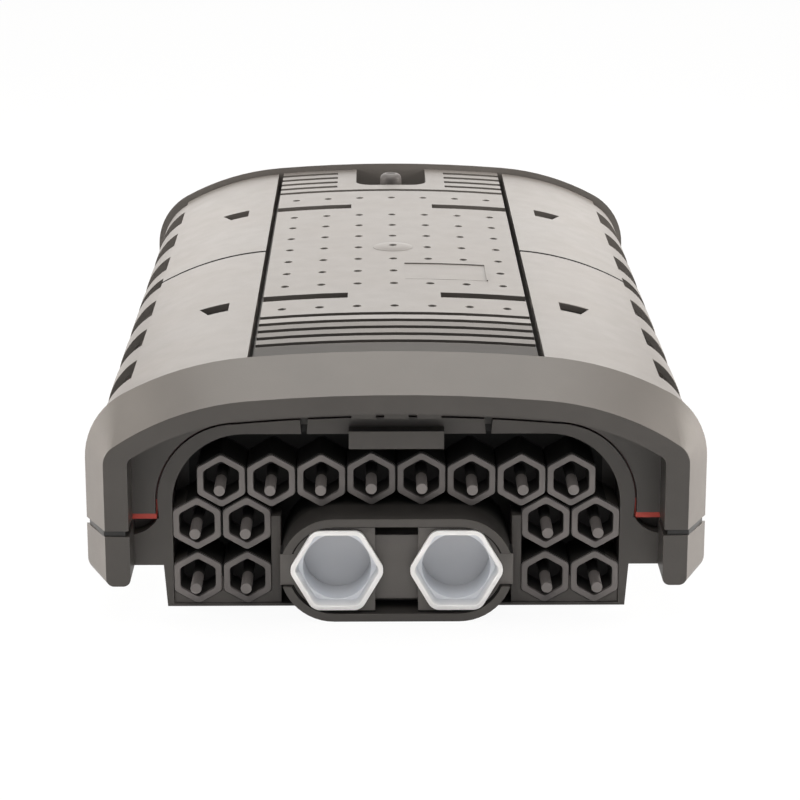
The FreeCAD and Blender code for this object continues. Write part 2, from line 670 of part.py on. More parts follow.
def foot_edges(side, inner, outer, bend):
    """The section of a foot from its inner to its outer side, with both lower corners round."""
    top = size("parting_height") - size("foot_drop")
    low = size("foot_bottom")
    curl = size("foot_inner_corner")
    part = 1 - math.sqrt(0.5)
    rounds = [((outer, low + bend), (outer - bend * part, low + bend * part), (outer - bend, low)),
              ((inner + curl, low), (inner + curl * part, low + curl * part), (inner, low + curl))]
    lines = [((inner, top), (outer, top)), ((outer, top), (outer, low + bend)),
             ((outer - bend, low), (inner + curl, low)), ((inner, low + curl), (inner, top))]
    rounds, lines = [[[vector(side * x, z) for x, z in run] for run in runs] for runs in (rounds, lines)]
    return [Part.Arc(*run) for run in rounds] + [Part.LineSegment(*run) for run in lines]


def hollow_base(body):
    """The tray's floor, and below it the deeper loop store in the tub."""
    wall = size("wall")
    upper_half = size("cavity_half") - size("gasket_width") + wall / 2
    front = -size("block_back_y")
    rear = size("bulkhead_y") - wall
    upper = sketch_on(body, "XY_Plane", "dim.parting_height")
    box_outline(upper, -upper_half, front, upper_half, rear)
    pocket(body, upper, "dim.parting_height - dim.tray_floor")
    lower = sketch_on(body, "XY_Plane", "dim.tray_floor")
    box_outline(lower, -size("tub_half") + wall, front, size("tub_half") - wall,
                size("crest_y") - size("tub_end_inset") - wall)
    pocket(body, lower, "dim.tray_floor - dim.wall")


def fixing_places():
    across = size("fixing_spacing_across") / 2
    along = size("fixing_spacing_along") / 2
    return [(x, y) for x in (-across, across) for y in (-along, along)]


def fixing_bosses(body):
    bosses = sketch_on(body, "XY_Plane")
    for x, y in fixing_places():
        circle(bosses, x, y, "fixing_boss_radius")
    pad(body, bosses, "dim.fixing_boss_height")
    holes = sketch_on(body, "XY_Plane")
    for x, y in fixing_places():
        circle(holes, x, y, "fixing_radius")
    pocket(body, holes, "dim.fixing_depth", reverse=True)


def port_places():
    """Eight ports over the oval one, then two rows of two on each side of it."""
    pitch = size("port_pitch")
    rows = ["upper_row_height"] * 3 + ["crown_row_height"] * 2 + ["upper_row_height"] * 3
    places = [((place - 3.5) * pitch, size(row)) for place, row in enumerate(rows)]
    for row in ("middle_row_height", "lower_row_height"):
        places += [(side * place * pitch, size(row)) for side in (-1, 1) for place in (4, 3)]
    return places


def port_block(body):
    """The arched recess, the hexagonal port tubes that stand in it and the oval collar."""
    recess = sketch_on(body, "XZ_Plane", "dim.crest_y")
    draw(recess, recess_edges())
    pocket(body, recess, "dim.block_depth - dim.back_wall")
    band_notches(body)
    lip_cuts(body)
    tubes = sketch_on(body, "XZ_Plane", "dim.block_back_y")
    for x, z in port_places():
        round_hexagon(tubes, x, z, size("port_flats"), size("port_corner"))
    pad(body, tubes, "dim.block_depth - dim.port_set_back")
    collar = sketch_on(body, "XZ_Plane", "dim.block_back_y")
    stadium(collar, size("oval_height"), size("oval_half"), size("oval_radius"))
    pad(body, collar, "dim.half_length - dim.block_back_y")
    bores = sketch_on(body, "XZ_Plane", "dim.crest_y")
    for x, z in port_places():
        round_hexagon(bores, x, z, size("port_bore_flats"), size("port_corner") - size("port_wall"))
    pocket(body, bores, "dim.block_depth")
    oval = sketch_on(body, "XZ_Plane", "dim.half_length")
    stadium(oval, size("oval_height"), size("oval_half") - size("oval_wall"), size("oval_radius") - size("oval_wall"))
    pocket(body, oval, "dim.half_length - dim.block_back_y")
    notch = sketch_on(body, "XZ_Plane", "dim.half_length")
    ear = size("insert_ear") / 2 + size("fit_gap")
    past = size("oval_half") + size("cut_over")
    box_outline(notch, -past, size("oval_height") - ear, past, size("oval_height") + ear)
    pocket(body, notch, "dim.insert_set_back + dim.insert_ear_depth + dim.fit_gap")
    catch = sketch_on(body, "XZ_Plane", "dim.crest_y - dim.wall")
    low = size("catch_bottom")
    box_outline(catch, -size("catch_width") / 2, low, size("catch_width") / 2, low + size("catch_height"))
    pad(body, catch, "dim.wall + dim.catch_depth")


def band_notches(body):
    """Two tapered notches in the band over the ports."""
    notches = sketch_on(body, "XZ_Plane", "dim.crest_y")
    top = size("block_top") + size("cut_over")
    low = size("recess_top") - size("cut_over")
    wide, narrow = size("band_notch_top") / 2, size("band_notch_foot") / 2
    for side in (-1, 1):
        x = side * size("band_notch_from_middle")
        polygon(notches, [(x - wide, top), (x + wide, top), (x + narrow, low), (x - narrow, low)])
    pocket(body, notches, "dim.band_notch_depth")


def lip_cuts(body):
    """The curved drop of the base's front edge beside the port block."""
    parting = size("parting_height")
    near = size("block_half") + size("fit_gap")
    far = size("half_width") - size("rim_inset") - size("rim_face")
    drop = size("lip_cut_height")
    cuts = sketch_on(body, "XZ_Plane", "dim.crest_y")
    for side in (-1, 1):
        curve = [vector(side * far, parting - drop), vector(side * (near + 0.47 * (far - near)), parting - 0.73 * drop),
                 vector(side * near, parting - 0.08 * drop)]
        above = [vector(side * near, parting + size("cut_over")), vector(side * far, parting + size("cut_over"))]
        draw(cuts, [Part.Arc(*curve), Part.LineSegment(curve[2], above[0]), Part.LineSegment(*above),
                    Part.LineSegment(above[1], curve[0])])
    pocket(body, cuts, "dim.lip_cut_depth")


def finger_slots(middle):
    return [middle + place * size("finger_slot_pitch") for place in (-1, 0, 1)]


def hinge_lugs(body):
    """Lugs between the latches' fingers, bored for the two hinge rods."""
    lugs = sketch_on(body, "XY_Plane", "dim.parting_height")
    reach = size("knuckle_radius") - size("fit_gap")
    half = size("finger_slot_length") / 2 - size("lug_side_gap")
    for side in (-1, 1):
        ends = sorted((side * (size("hinge_x") - reach), side * (size("hinge_x") + reach)))
        for end_name, _ in ENDS:
            for middle in finger_slots(size(f"{end_name}_latch_middle")):
                box_outline(lugs, ends[0], middle - half, ends[1], middle + half)
    pad(body, lugs, "dim.hinge_height + dim.knuckle_radius - dim.parting_height")
    bores = sketch_on(body, "XZ_Plane", "dim.crest_y")
    for side in (-1, 1):
        circle(bores, side * size("hinge_x"), size("hinge_height"), "bore_radius")
    pocket(body, bores, "2 * dim.crest_y")


# Gasket between base and cover

def gasket():
    body = new_body("gasket")
    outer = size("barrel_half")
    inner = outer - size("gasket_width")
    front = size("crest_y") - size("fit_gap")
    rear = size("crest_y") - size("fit_gap")
    ring = sketch_on(body, "XY_Plane", "dim.parting_height")
    door = size("block_half") + size("arch_gap") / 2
    inner_front = size("bulkhead_y")
    polygon(ring, [(door, -front), (outer, -front), (outer, rear), (-outer, rear), (-outer, -front),
                   (-door, -front), (-door, -inner_front), (-inner, -inner_front), (-inner, inner_front),
                   (inner, inner_front), (inner, -inner_front), (door, -inner_front)])
    pad(body, ring, "dim.gasket_height")
    arch = sketch_on(body, "XZ_Plane", "dim.bulkhead_y")
    base = size("parting_height")
    slack = size("seal_slack")
    outside = block_edges(size("arch_gap") - slack, base)[:-1]
    inside = block_edges(slack, base)[:-1]
    feet = []
    for side in (-1, 1):
        wide = size("block_half") + size("arch_gap") - slack
        narrow = size("block_half") + slack
        feet.append(Part.LineSegment(vector(side * narrow, base), vector(side * wide, base)))
    draw(arch, outside + inside + feet)
    pad(body, arch, "dim.seal_depth")
    return body


# Latches

def latch(end_name, sign, side_name, side):
    body = new_body(f"latch_{end_name}_{side_name}")
    outer = rim_arch(size("panel_drop"))
    inner = rim_arch(size("latch_inset"))
    edge = size("latch_inner_edge")
    start = outer.haunch_angle(edge)
    begin = inner.haunch_angle(edge)
    low = size("hinge_height")
    seam = f"{sign} * dim.seam_gap / 2 - dim.seam_shift"
    length = f"dim.{end_name}_latch_length"
    section = sketch_on(body, "XZ_Plane", seam)
    arcs = outer.side_curve(start) + inner.side_curve(begin)
    legs = [(arcs[1][2], vector(outer.half, low)), (vector(outer.half, low), vector(inner.half, low)),
            (vector(inner.half, low), arcs[3][2]), (arcs[2][0], arcs[0][0])]
    flip = [tuple(vector(side * p.x, p.y) for p in run) for run in arcs + legs]
    draw(section, [Part.Arc(*run) for run in flip[:4]] + [Part.LineSegment(*run) for run in flip[4:]])
    pad(body, section, length, reverse=sign < 0)
    knuckle = sketch_on(body, "XZ_Plane", seam)
    circle(knuckle, side * size("hinge_x"), low, "knuckle_radius")
    pad(body, knuckle, length, reverse=sign < 0)
    bore = sketch_on(body, "XZ_Plane", seam)
    circle(bore, side * size("hinge_x"), low, "bore_radius")
    pocket(body, bore, length, reverse=sign > 0)
    slots = sketch_on(body, "XY_Plane", "dim.crest_height")
    middle = size(f"{end_name}_latch_middle")
    ends = sorted((side * size("finger_slot_from"), side * (size("half_width") + size("cut_over"))))
    half = size("finger_slot_length") / 2
    for along in finger_slots(middle):
        box_outline(slots, ends[0], along - half, ends[1], along + half)
    for along in (-1, 1):
        tip = middle + along * size(f"{end_name}_latch_length") / 2
        span = sorted((tip - along * size("finger_end_notch"), tip + along * size("cut_over")))
        box_outline(slots, ends[0], span[0], ends[1], span[1])
    pocket(body, slots, "dim.crest_height - dim.hinge_height + dim.knuckle_radius")
    pry = sketch_on(body, "XY_Plane", "dim.crest_height")
    near = size("pry_hole_from")
    far = near + size("pry_hole_width")
    back = middle + size("pry_hole_length") / 2
    front = middle - size("pry_hole_length") / 2
    polygon(pry, [(side * near, back), (side * far, back), (side * (far - size("pry_hole_skew")), front),
                  (side * near, front)])
    pocket(body, pry, "dim.crest_height - dim.parting_height")
    return body


# Port plugs

def port_plug(label, x, z):
    """A hexagonal blanking cup with a pull pin in its middle."""
    body = new_body(label)
    flange = sketch_on(body, "XZ_Plane", "dim.plug_face_y")
    round_hexagon(flange, x, z, size("plug_flange_flats"), size("port_corner"))
    pad(body, flange, "dim.plug_flange", reverse=True)
    shank = sketch_on(body, "XZ_Plane", "dim.plug_face_y - dim.plug_flange")
    round_hexagon(shank, x, z, size("plug_body_flats"), size("port_corner") - size("port_wall"))
    pad(body, shank, "dim.plug_depth", reverse=True)
    bore = sketch_on(body, "XZ_Plane", "dim.plug_face_y")
    round_hexagon(bore, x, z, size("plug_bore_flats"), size("port_corner"))
    pocket(body, bore, "dim.plug_depth")
    pin = sketch_on(body, "XZ_Plane", "dim.plug_face_y + dim.plug_pin_proud")
    circle(pin, x, z, "plug_pin_radius")
    pad(body, pin, "dim.plug_depth + dim.plug_pin_proud", reverse=True)
    return body


def port_plugs():
    rows = ["upper"] * 8 + ["middle"] * 4 + ["lower"] * 4
    for number, (row, (x, z)) in enumerate(zip(rows, port_places()), 1):
        port_plug(f"port_plug_{row}_{number:02d}", x, z)


# Oval port

def oval_insert():
    body = new_body("oval_insert")
    middle = size("oval_height")
    block = sketch_on(body, "XZ_Plane", "dim.oval_reach")
    stadium(block, middle, size("insert_half"), size("insert_radius"))
    pad(body, block, "dim.insert_depth", reverse=True)
    ears = sketch_on(body, "XZ_Plane", "dim.oval_reach")
    tall = size("insert_ear") / 2
    box_outline(ears, -size("oval_half"), middle - tall, size("oval_half"), middle + tall)
    pad(body, ears, "dim.insert_ear_depth", reverse=True)
    holes = sketch_on(body, "XZ_Plane", "dim.oval_reach")
    for side in (-1, 1):
        hexagon(holes, side * size("cap_from_middle"), middle, size("cap_bore_flats"), upright=False)
    pocket(body, holes, "dim.insert_depth")
    half = size("web_width") / 2
    web = sketch_on(body, "XZ_Plane", "dim.oval_reach")
    reach = size("insert_radius") + size("cut_over")
    box_outline(web, -half, middle - reach, half, middle + reach)
    pocket(body, web, "dim.web_recess")
    slots = sketch_on(body, "XZ_Plane", "dim.oval_reach")
    tall = size("web_slot")
    for side in (-1, 1):
        rows = sorted((middle + side * (size("insert_radius") - tall), middle + side * reach))
        box_outline(slots, -half, rows[0], half, rows[1])
    pocket(body, slots, "dim.insert_depth / 2")
    return body


def oval_seal():
    body = new_body("oval_seal")
    ring = sketch_on(body, "XZ_Plane", "dim.insert_back_y")
    middle = size("oval_height")
    stadium(ring, middle, size("insert_half"), size("insert_radius"))
    for side in (-1, 1):
        hexagon(ring, side * size("cap_from_middle"), middle, size("cap_bore_flats"), upright=False)
    pad(body, ring, "dim.oval_seal_depth", reverse=True)
    return body


def hex_cap(side_name, side):
    """A clear blanking cap: a hexagonal mouth that runs into a round cup."""
    body = new_body(f"hex_cap_{side_name}")
    x = side * size("cap_from_middle")
    z = size("oval_height")
    cup_radius = size("cap_body_flats") / 2
    flange = sketch_on(body, "XZ_Plane", "dim.oval_reach")
    hexagon(flange, x, z, size("cap_flats"), upright=False)
    lip = pad(body, flange, "dim.insert_set_back")
    upright = [f"Edge{place}" for place, edge in enumerate(lip.Shape.Edges, 1)
               if abs(edge.tangentAt(edge.FirstParameter).y) > 0.9]
    fillet(body, upright, "dim.cap_corner")
    mouth = sketch_on(body, "XZ_Plane", "dim.oval_reach")
    hexagon(mouth, x, z, size("cap_body_flats"), upright=False)
    pad(body, mouth, "dim.cap_hex_depth", reverse=True)
    cup = sketch_on(body, "XZ_Plane", "dim.oval_reach - dim.cap_hex_depth")
    cup.addGeometry(Part.Circle(vector(x, z), FreeCAD.Vector(0, 0, 1), cup_radius), False)
    pad(body, cup, "dim.cap_depth - dim.cap_hex_depth", reverse=True)
    inside = sketch_on(body, "XZ_Plane", "dim.half_length")
    hexagon(inside, x, z, size("cap_body_flats") - 2 * size("cap_wall"), upright=False)
    pocket(body, inside, "dim.insert_set_back + dim.cap_hex_depth - dim.cap_wall")
    well = sketch_on(body, "XZ_Plane", "dim.half_length")
    well.addGeometry(Part.Circle(vector(x, z), FreeCAD.Vector(0, 0, 1), cup_radius - size("cap_wall")), False)
    pocket(body, well, "dim.insert_set_back + dim.cap_depth - dim.cap_wall")
    return body


# Inflation valve

def turned_piece(label, points, bulge=None):
    """A turned piece on the valve's axis, from radius and height pairs; a bulge rounds the third side."""
    body = new_body(label)
    profile = sketch_on(body, "XZ_Plane", "-dim.valve_y")
    corners = [vector(*point) for point in points]
    sides = [Part.LineSegment(one, other) for one, other in zip(corners, corners[1:] + corners[:1])]
    if bulge is not None:
        sides[2] = Part.Arc(corners[2], vector(*bulge), corners[3])
    draw(profile, sides)
    revolve(body, profile)
    return body


def valve():
    floor = size("valve_floor")
    stem = size("valve_stem_radius")
    under = floor - size("wall")
    flange = size("valve_flange")
    seat = size("valve_seat")
    top = size("panel_top") - seat
    turned_piece("valve_stem", [(0, under - 2 * seat), (flange, under - 2 * seat), (flange, under - seat),
                            (stem, under - seat), (stem, top), (0, top)])
    bore = stem + size("running_gap")
    turned_piece("valve_seal", [(bore, under - seat), (flange, under - seat), (flange, under), (bore, under)])
    cap = stem + size("valve_cap_wall")
    foot = floor + size("fit_gap")
    high = top + size("fit_gap")
    crown = high + seat
    inner = cap - 2 * seat
    slant = 2 * seat * (1 - math.sqrt(0.5))
    turned_piece("valve_cap", [(bore, foot), (cap, foot), (cap, high - seat), (inner, crown), (0, crown + seat / 4),
                           (0, high), (bore, high)], bulge=(cap - slant, crown - slant))


# Organiser, splice trays and cable anchor

def tray_height(number):
    return size("organiser_top") + size("fit_gap") + number * size("tray_pitch")


def tray_count():
    return int(size("tray_count"))


def organiser():
    """A plate over the loop store, with two ears at its rear for the tray pins."""
    body = new_body("organiser_plate")
    half = size("organiser_half")
    plate = sketch_on(body, "XY_Plane", "dim.tray_floor")
    box_outline(plate, -half, -size("organiser_front"), half, size("organiser_back"))
    pad(body, plate, "dim.organiser_thickness")
    window = sketch_on(body, "XY_Plane", "dim.organiser_top")
    box_outline(window, -half / 2, -size("organiser_front") / 2, half / 2, size("organiser_back") / 2)
    pocket(body, window, "dim.organiser_thickness")
    ears = sketch_on(body, "XY_Plane", "dim.organiser_top")
    near = size("ear_from_middle")
    reach = size("tray_lug_radius")
    for side in (-1, 1):
        ends = sorted((side * near, side * (near + size("ear_thickness"))))
        box_outline(ears, ends[0], size("tray_pin_back") - reach, ends[1], size("tray_pin_back") + reach)
    pad(body, ears, "dim.fit_gap + dim.tray_count * dim.tray_pitch")
    bores = sketch_on(body, "YZ_Plane", "-dim.organiser_half")
    for number in range(tray_count()):
        height = tray_height(number) + size("tray_lug_radius")
        circle(bores, size("tray_pin_back"), height, "tray_bore_radius")
    pocket(body, bores, "2 * dim.organiser_half", reverse=True)
    return body


def splice_tray(number):
    """A shallow tray with a fibre rim, guide posts and two hinge lugs."""
    label = f"splice_tray_{number + 1}"
    body = new_body(label)
    level = f"dim.organiser_top + dim.fit_gap + {number} * dim.tray_pitch"
    half = size("splice_tray_half")
    front, back = -size("splice_tray_front"), size("splice_tray_back")
    plan = sketch_on(body, "XY_Plane", level)
    box_outline(plan, -half, front, half, back)
    pad(body, plan, "dim.splice_tray_height")
    wall = size("splice_tray_wall")
    inside = sketch_on(body, "XY_Plane", level + " + dim.splice_tray_height")
    box_outline(inside, -half + wall, front + wall, half - wall, back - wall)
    pocket(body, inside, "dim.splice_tray_height - dim.splice_tray_wall")
    posts = sketch_on(body, "XY_Plane", level)
    for x in (size("post_from_side") - half, half - size("post_from_side")):
        for y in (front + size("post_from_end"), back - size("post_from_end")):
            circle(posts, x, y, "post_radius")
    pad(body, posts, "dim.splice_tray_height - dim.splice_tray_wall")
    lugs = sketch_on(body, "YZ_Plane", "-dim.tray_lug_from_middle")
    pin = size("tray_pin_back")
    reach = size("tray_lug_radius")
    middle = tray_height(number) + reach
    def arm(sketch):
        top, low = vector(pin, middle + reach), vector(pin, middle - reach)
        draw(sketch, [Part.LineSegment(vector(back - wall / 2, middle - reach), low),
                      Part.Arc(low, vector(pin + reach, middle), top),
                      Part.LineSegment(top, vector(back - wall / 2, middle + reach)),
                      Part.LineSegment(vector(back - wall / 2, middle + reach),
                                       vector(back - wall / 2, middle - reach))])
    arm(lugs)
    pad(body, lugs, "dim.tray_lug_width", both=True)
    other = sketch_on(body, "YZ_Plane", "dim.tray_lug_from_middle")
    arm(other)
    pad(body, other, "dim.tray_lug_width", both=True)
    bores = sketch_on(body, "YZ_Plane", "-dim.splice_tray_half")
    circle(bores, pin, middle, "tray_bore_radius")
    pocket(body, bores, "2 * dim.splice_tray_half", reverse=True)
    cylinder(f"tray_pin_{number + 1}", "dim.tray_pin_radius", "dim.tray_pin_length", "-dim.tray_pin_length / 2",
             "dim.tray_pin_back", level + " + dim.tray_lug_radius", ALONG_X)
    splice_holder(number, level)


def splice_holder(number, level):
    """A comb that grips the spliced fibres, seated on the tray's floor."""
    body = new_body(f"splice_holder_{number + 1}")
    half = size("comb_length") / 2
    wide = size("comb_width") / 2
    block = sketch_on(body, "XY_Plane", level + " + dim.splice_tray_wall")
    box_outline(block, -wide, -half, wide, half)
    pad(body, block, "dim.comb_height")
    slots = sketch_on(body, "XY_Plane", level + " + dim.splice_tray_wall + dim.comb_height")
    count = int(size("comb_slots"))
    pitch = size("comb_pitch")
    past = half + size("cut_over")
    for place in range(count):
        middle = (place + 0.5) * pitch - wide
        box_outline(slots, middle - size("comb_slot_width") / 2, -past, middle + size("comb_slot_width") / 2, past)
    pocket(body, slots, "dim.comb_height / 2")


def tray_lid():
    body = new_body("tray_lid")
    top = f"dim.organiser_top + dim.fit_gap + {tray_count() - 1} * dim.tray_pitch + dim.splice_tray_height"
    half = size("splice_tray_half")
    plan = sketch_on(body, "XY_Plane", top)
    box_outline(plan, -half, -size("splice_tray_front"), half, size("splice_tray_back"))
    pad(body, plan, "dim.lid_thickness")


def cable_anchor():
    """A toothed strip behind the ports that the cables' strength members are tied to."""
    body = new_body("cable_anchor")
    half = size("anchor_length") / 2
    middle = -size("anchor_y")
    wide = size("anchor_width") / 2
    strip = sketch_on(body, "XY_Plane", "dim.wall")
    box_outline(strip, -half, middle - wide, half, middle + wide)
    pad(body, strip, "dim.anchor_thickness")
    teeth = sketch_on(body, "XY_Plane", "dim.wall")
    count = int(size("anchor_teeth"))
    pitch = size("anchor_screw_spacing") / (count + 1)
    for place in range(count):
        x = (place + 1) * pitch - size("anchor_screw_spacing") / 2
        box_outline(teeth, x - pitch / 4, middle - size("anchor_thickness") / 2,
                    x + pitch / 4, middle + size("anchor_thickness") / 2)
    pad(body, teeth, "dim.anchor_tooth_height")
    holes = sketch_on(body, "XY_Plane", "dim.wall + dim.anchor_thickness")
    for side in (-1, 1):
        circle(holes, side * size("anchor_screw_spacing") / 2, middle, "anchor_screw_radius")
    pocket(body, holes, "dim.anchor_thickness")


cover_shell()
base_shell()
gasket()
for end_name, sign in ENDS:
    for side_name, side in SIDES:
        latch(end_name, sign, side_name, side)
for side_name, side in SIDES:
    cylinder(f"hinge_rod_{side_name}", "dim.rod_radius", "2 * (dim.crest_y - dim.latch_end_gap)",
             f"{side} * dim.hinge_x", "-(dim.crest_y - dim.latch_end_gap)", "dim.hinge_height", ALONG_Y)
port_plugs()
oval_insert()
oval_seal()
for side_name, side in SIDES:
    hex_cap(side_name, side)
valve()
organiser()
for number in range(tray_count()):
    splice_tray(number)
tray_lid()
cable_anchor()

doc.recompute()
for thing in doc.Objects:
    if "Invalid" in thing.State or "Error" in thing.State:
        raise RuntimeError(f"{thing.Label} failed: {thing.State}")
for part in sub_parts:
    if part.Shape.isNull() or not part.Shape.isValid():
        raise RuntimeError(f"{part.Label} has no valid shape")

os.makedirs("parts", exist_ok=True)
for part in sub_parts:
    part.Shape.exportStep(f"parts/{part.Label}.step")
    print(f"{part.Label}: {len(part.Shape.Solids)} solid, {part.Shape.Volume / 1000:.1f} cm3")
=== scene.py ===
# %% [markdown]
# # A fibre splice closure
# The closure is a low arched box of moulded plastic that keeps spliced cables dry. The solids come from
# the CAD frame, in metres, with the origin in the middle of the bottom face, +Z up and the cable ports
# towards -Y. This lesson gives them their edges, their finish, a few small mouldings, a camera and light.

# %% Load the frame
import math

import bpy
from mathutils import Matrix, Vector


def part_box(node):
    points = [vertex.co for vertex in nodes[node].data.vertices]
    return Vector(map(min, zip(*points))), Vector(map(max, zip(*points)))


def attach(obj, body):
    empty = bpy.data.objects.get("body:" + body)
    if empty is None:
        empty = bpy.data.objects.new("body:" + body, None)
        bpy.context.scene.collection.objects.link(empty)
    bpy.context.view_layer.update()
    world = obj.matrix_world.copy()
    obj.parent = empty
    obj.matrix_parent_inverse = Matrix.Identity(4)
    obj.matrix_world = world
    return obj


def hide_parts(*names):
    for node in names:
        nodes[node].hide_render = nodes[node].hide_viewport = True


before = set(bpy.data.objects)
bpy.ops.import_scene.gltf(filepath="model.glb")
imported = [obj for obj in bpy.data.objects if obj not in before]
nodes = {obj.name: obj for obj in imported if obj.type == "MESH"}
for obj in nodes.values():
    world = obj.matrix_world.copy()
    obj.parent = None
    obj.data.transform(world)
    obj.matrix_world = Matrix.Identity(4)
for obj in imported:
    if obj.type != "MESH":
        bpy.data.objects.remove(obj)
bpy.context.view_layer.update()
bpy.ops.object.select_all(action="DESELECT")

# %% [markdown]
# ## Camera
# The picture was taken from a little above the cover, far enough away that the sides hardly converge.
# The place and the pitch were worked out from the edges that run along the closure: they meet on the
# horizon, far above the picture. The focal length is counted in pixels of a square picture.

# %% Camera
picture_pixels = 800
focal_pixels = 2700
sensor_mm = 36
camera_place = Vector((-0.0080, -1.217, 0.378))
camera_pitch = math.radians(15.92)
camera_yaw = math.radians(0.53)
far_clip = 50

bpy.ops.object.camera_add(location=camera_place, rotation=(math.pi / 2 - camera_pitch, 0, -camera_yaw))
camera = bpy.context.object
camera.name = "camera"
camera.data.sensor_width = sensor_mm
camera.data.lens = sensor_mm * focal_pixels / picture_pixels
camera.data.clip_end = far_clip
bpy.context.scene.camera = camera
print("lens:", round(camera.data.lens, 1), "mm")

# %% [markdown]
# ## Tools for finishes
# A finish is a small network of coordinates, noise, ranges and sums. It could be wired node by node each
# time. A few helpers keep the wiring short, so that each finish below reads like a recipe.

# %% Tools for finishes


def new_finish(name):
    """A new material, its network and its shader."""
    material = bpy.data.materials.new(name)
    material.use_nodes = True
    tree = material.node_tree
    return material, tree, tree.nodes["Principled BSDF"]


def own_place(tree):
    """Coordinates of the piece itself, in metres."""
    return tree.nodes.new("ShaderNodeTexCoord").outputs["Object"]


def own_axes(tree):
    """The same coordinates as three values."""
    axes = tree.nodes.new("ShaderNodeSeparateXYZ")
    tree.links.new(own_place(tree), axes.inputs[0])
    return axes.outputs


def feed(tree, socket, value):
    """Sets a socket to a constant, or links it to the result of another node."""
    if isinstance(value, (int, float, tuple)):
        socket.default_value = value
    else:
        tree.links.new(value, socket)


def step(tree, operation, *values):
    """One step of arithmetic."""
    node = tree.nodes.new("ShaderNodeMath")
    node.operation = operation
    for socket, value in zip(node.inputs, values):
        feed(tree, socket, value)
    return node.outputs[0]


def noise(tree, place, per_metre, detail=2):
    """Soft noise between nought and one."""
    node = tree.nodes.new("ShaderNodeTexNoise")
    node.inputs["Scale"].default_value = per_metre
    node.inputs["Detail"].default_value = detail
    tree.links.new(place, node.inputs["Vector"])
    return node.outputs["Fac"]


def spread(tree, value, low, high, start=0.0, end=1.0):
    """Maps a value from the range start to end onto the range low to high."""
    node = tree.nodes.new("ShaderNodeMapRange")
    for socket, limit in (("From Min", start), ("From Max", end), ("To Min", low), ("To Max", high)):
        node.inputs[socket].default_value = limit
    tree.links.new(value, node.inputs["Value"])
    return node.outputs["Result"]


def blend(tree, value, stops):
    """Colours along a value: each stop has a place and a tone."""
    node = tree.nodes.new("ShaderNodeValToRGB")
    ramp = node.color_ramp
    for element, (place, tone) in ((ramp.elements[0], stops[0]), (ramp.elements[1], stops[-1])):
        element.position = place
        element.color = list(tone) + [1]
    for place, tone in stops[1:-1]:
        ramp.elements.new(place).color = list(tone) + [1]
    tree.links.new(value, node.inputs["Fac"])
    return node.outputs["Color"]


def multiply_tone(tree, shader, colour, where):
    """Multiplies the tone by a colour, in full where the last value is one."""
    tone = tree.nodes.new("ShaderNodeMixRGB")
    tone.blend_type = "MULTIPLY"
    feed(tree, tone.inputs["Fac"], where)
    feed(tree, tone.inputs["Color2"], colour)
    tree.links.new(shader.inputs["Base Color"].links[0].from_socket, tone.inputs["Color1"])
    tree.links.new(tone.outputs["Color"], shader.inputs["Base Color"])


def shade_place(tree, shader, where, share, dull):
    """Where the value is one, takes the tone down to a share and adds to the roughness."""
    multiply_tone(tree, shader, (share, share, share, 1), where)
    roughness = shader.inputs["Roughness"].links[0].from_socket
    tree.links.new(step(tree, "MULTIPLY_ADD", where, dull, roughness), shader.inputs["Roughness"])


print("tools for finishes are ready")

# %% [markdown]
# ## Floor, backdrop and light
# A studio sweep gives a white ground that has no horizon. It could be a curved sheet under strong lamps;
# here the floor shines a little to the rays that see it, so it stays white and still takes a soft shadow.
# Grazing reflections of the white room are what make the flat top of a dark moulding look pale, so glossy
# rays see the same white as the camera does. The two side lamps light the flanks but aren't reflected,
# because their bright squares would burn out the rims.

# %% World
scene = bpy.context.scene
scene.view_settings.view_transform = "Standard"
room_light = 0.15
room_tone = (1.0, 0.98, 0.96, 1)
white_tone = (1, 1, 1, 1)


def white_rays(tree):
    """One for the rays that see the white ground: from the camera, from a gloss or through clear plastic."""
    rays = tree.nodes.new("ShaderNodeLightPath")
    total = rays.outputs["Is Camera Ray"]
    for kind in ("Is Glossy Ray", "Is Transmission Ray"):
        total = step(tree, "MAXIMUM", total, rays.outputs[kind])
    return total


world = bpy.data.worlds.new("studio")
scene.world = world
world.use_nodes = True
tree = world.node_tree
tree.nodes.clear()
choice = tree.nodes.new("ShaderNodeMixShader")
tree.links.new(white_rays(tree), choice.inputs["Fac"])
for socket, tone, strength in ((1, room_tone, room_light), (2, white_tone, 1.0)):
    light = tree.nodes.new("ShaderNodeBackground")
    light.inputs["Color"].default_value = tone
    light.inputs["Strength"].default_value = strength
    tree.links.new(light.outputs[0], choice.inputs[socket])
room = tree.nodes.new("ShaderNodeOutputWorld")
tree.links.new(choice.outputs[0], room.inputs["Surface"])
print("room light:", room_light)

# %% Floor
floor_size = 12
floor_glow = 0.95
paper_tone = (0.5, 0.5, 0.5, 1)
paper_roughness = 0.9

bpy.ops.mesh.primitive_plane_add(size=floor_size, location=(0, 0, 0))
floor = bpy.context.object
floor.name = "floor"
paper, tree, sheet = new_finish("white_paper")
sheet.inputs["Base Color"].default_value = paper_tone
sheet.inputs["Roughness"].default_value = paper_roughness
glow = tree.nodes.new("ShaderNodeEmission")
glow.inputs["Strength"].default_value = 1.0
mixed = tree.nodes.new("ShaderNodeMixShader")
tree.links.new(step(tree, "MULTIPLY", white_rays(tree), floor_glow), mixed.inputs["Fac"])
tree.links.new(sheet.outputs[0], mixed.inputs[1])
tree.links.new(glow.outputs[0], mixed.inputs[2])
tree.links.new(mixed.outputs[0], tree.nodes["Material Output"].inputs["Surface"])
floor.data.materials.append(paper)
print("floor:", floor_size, "m")

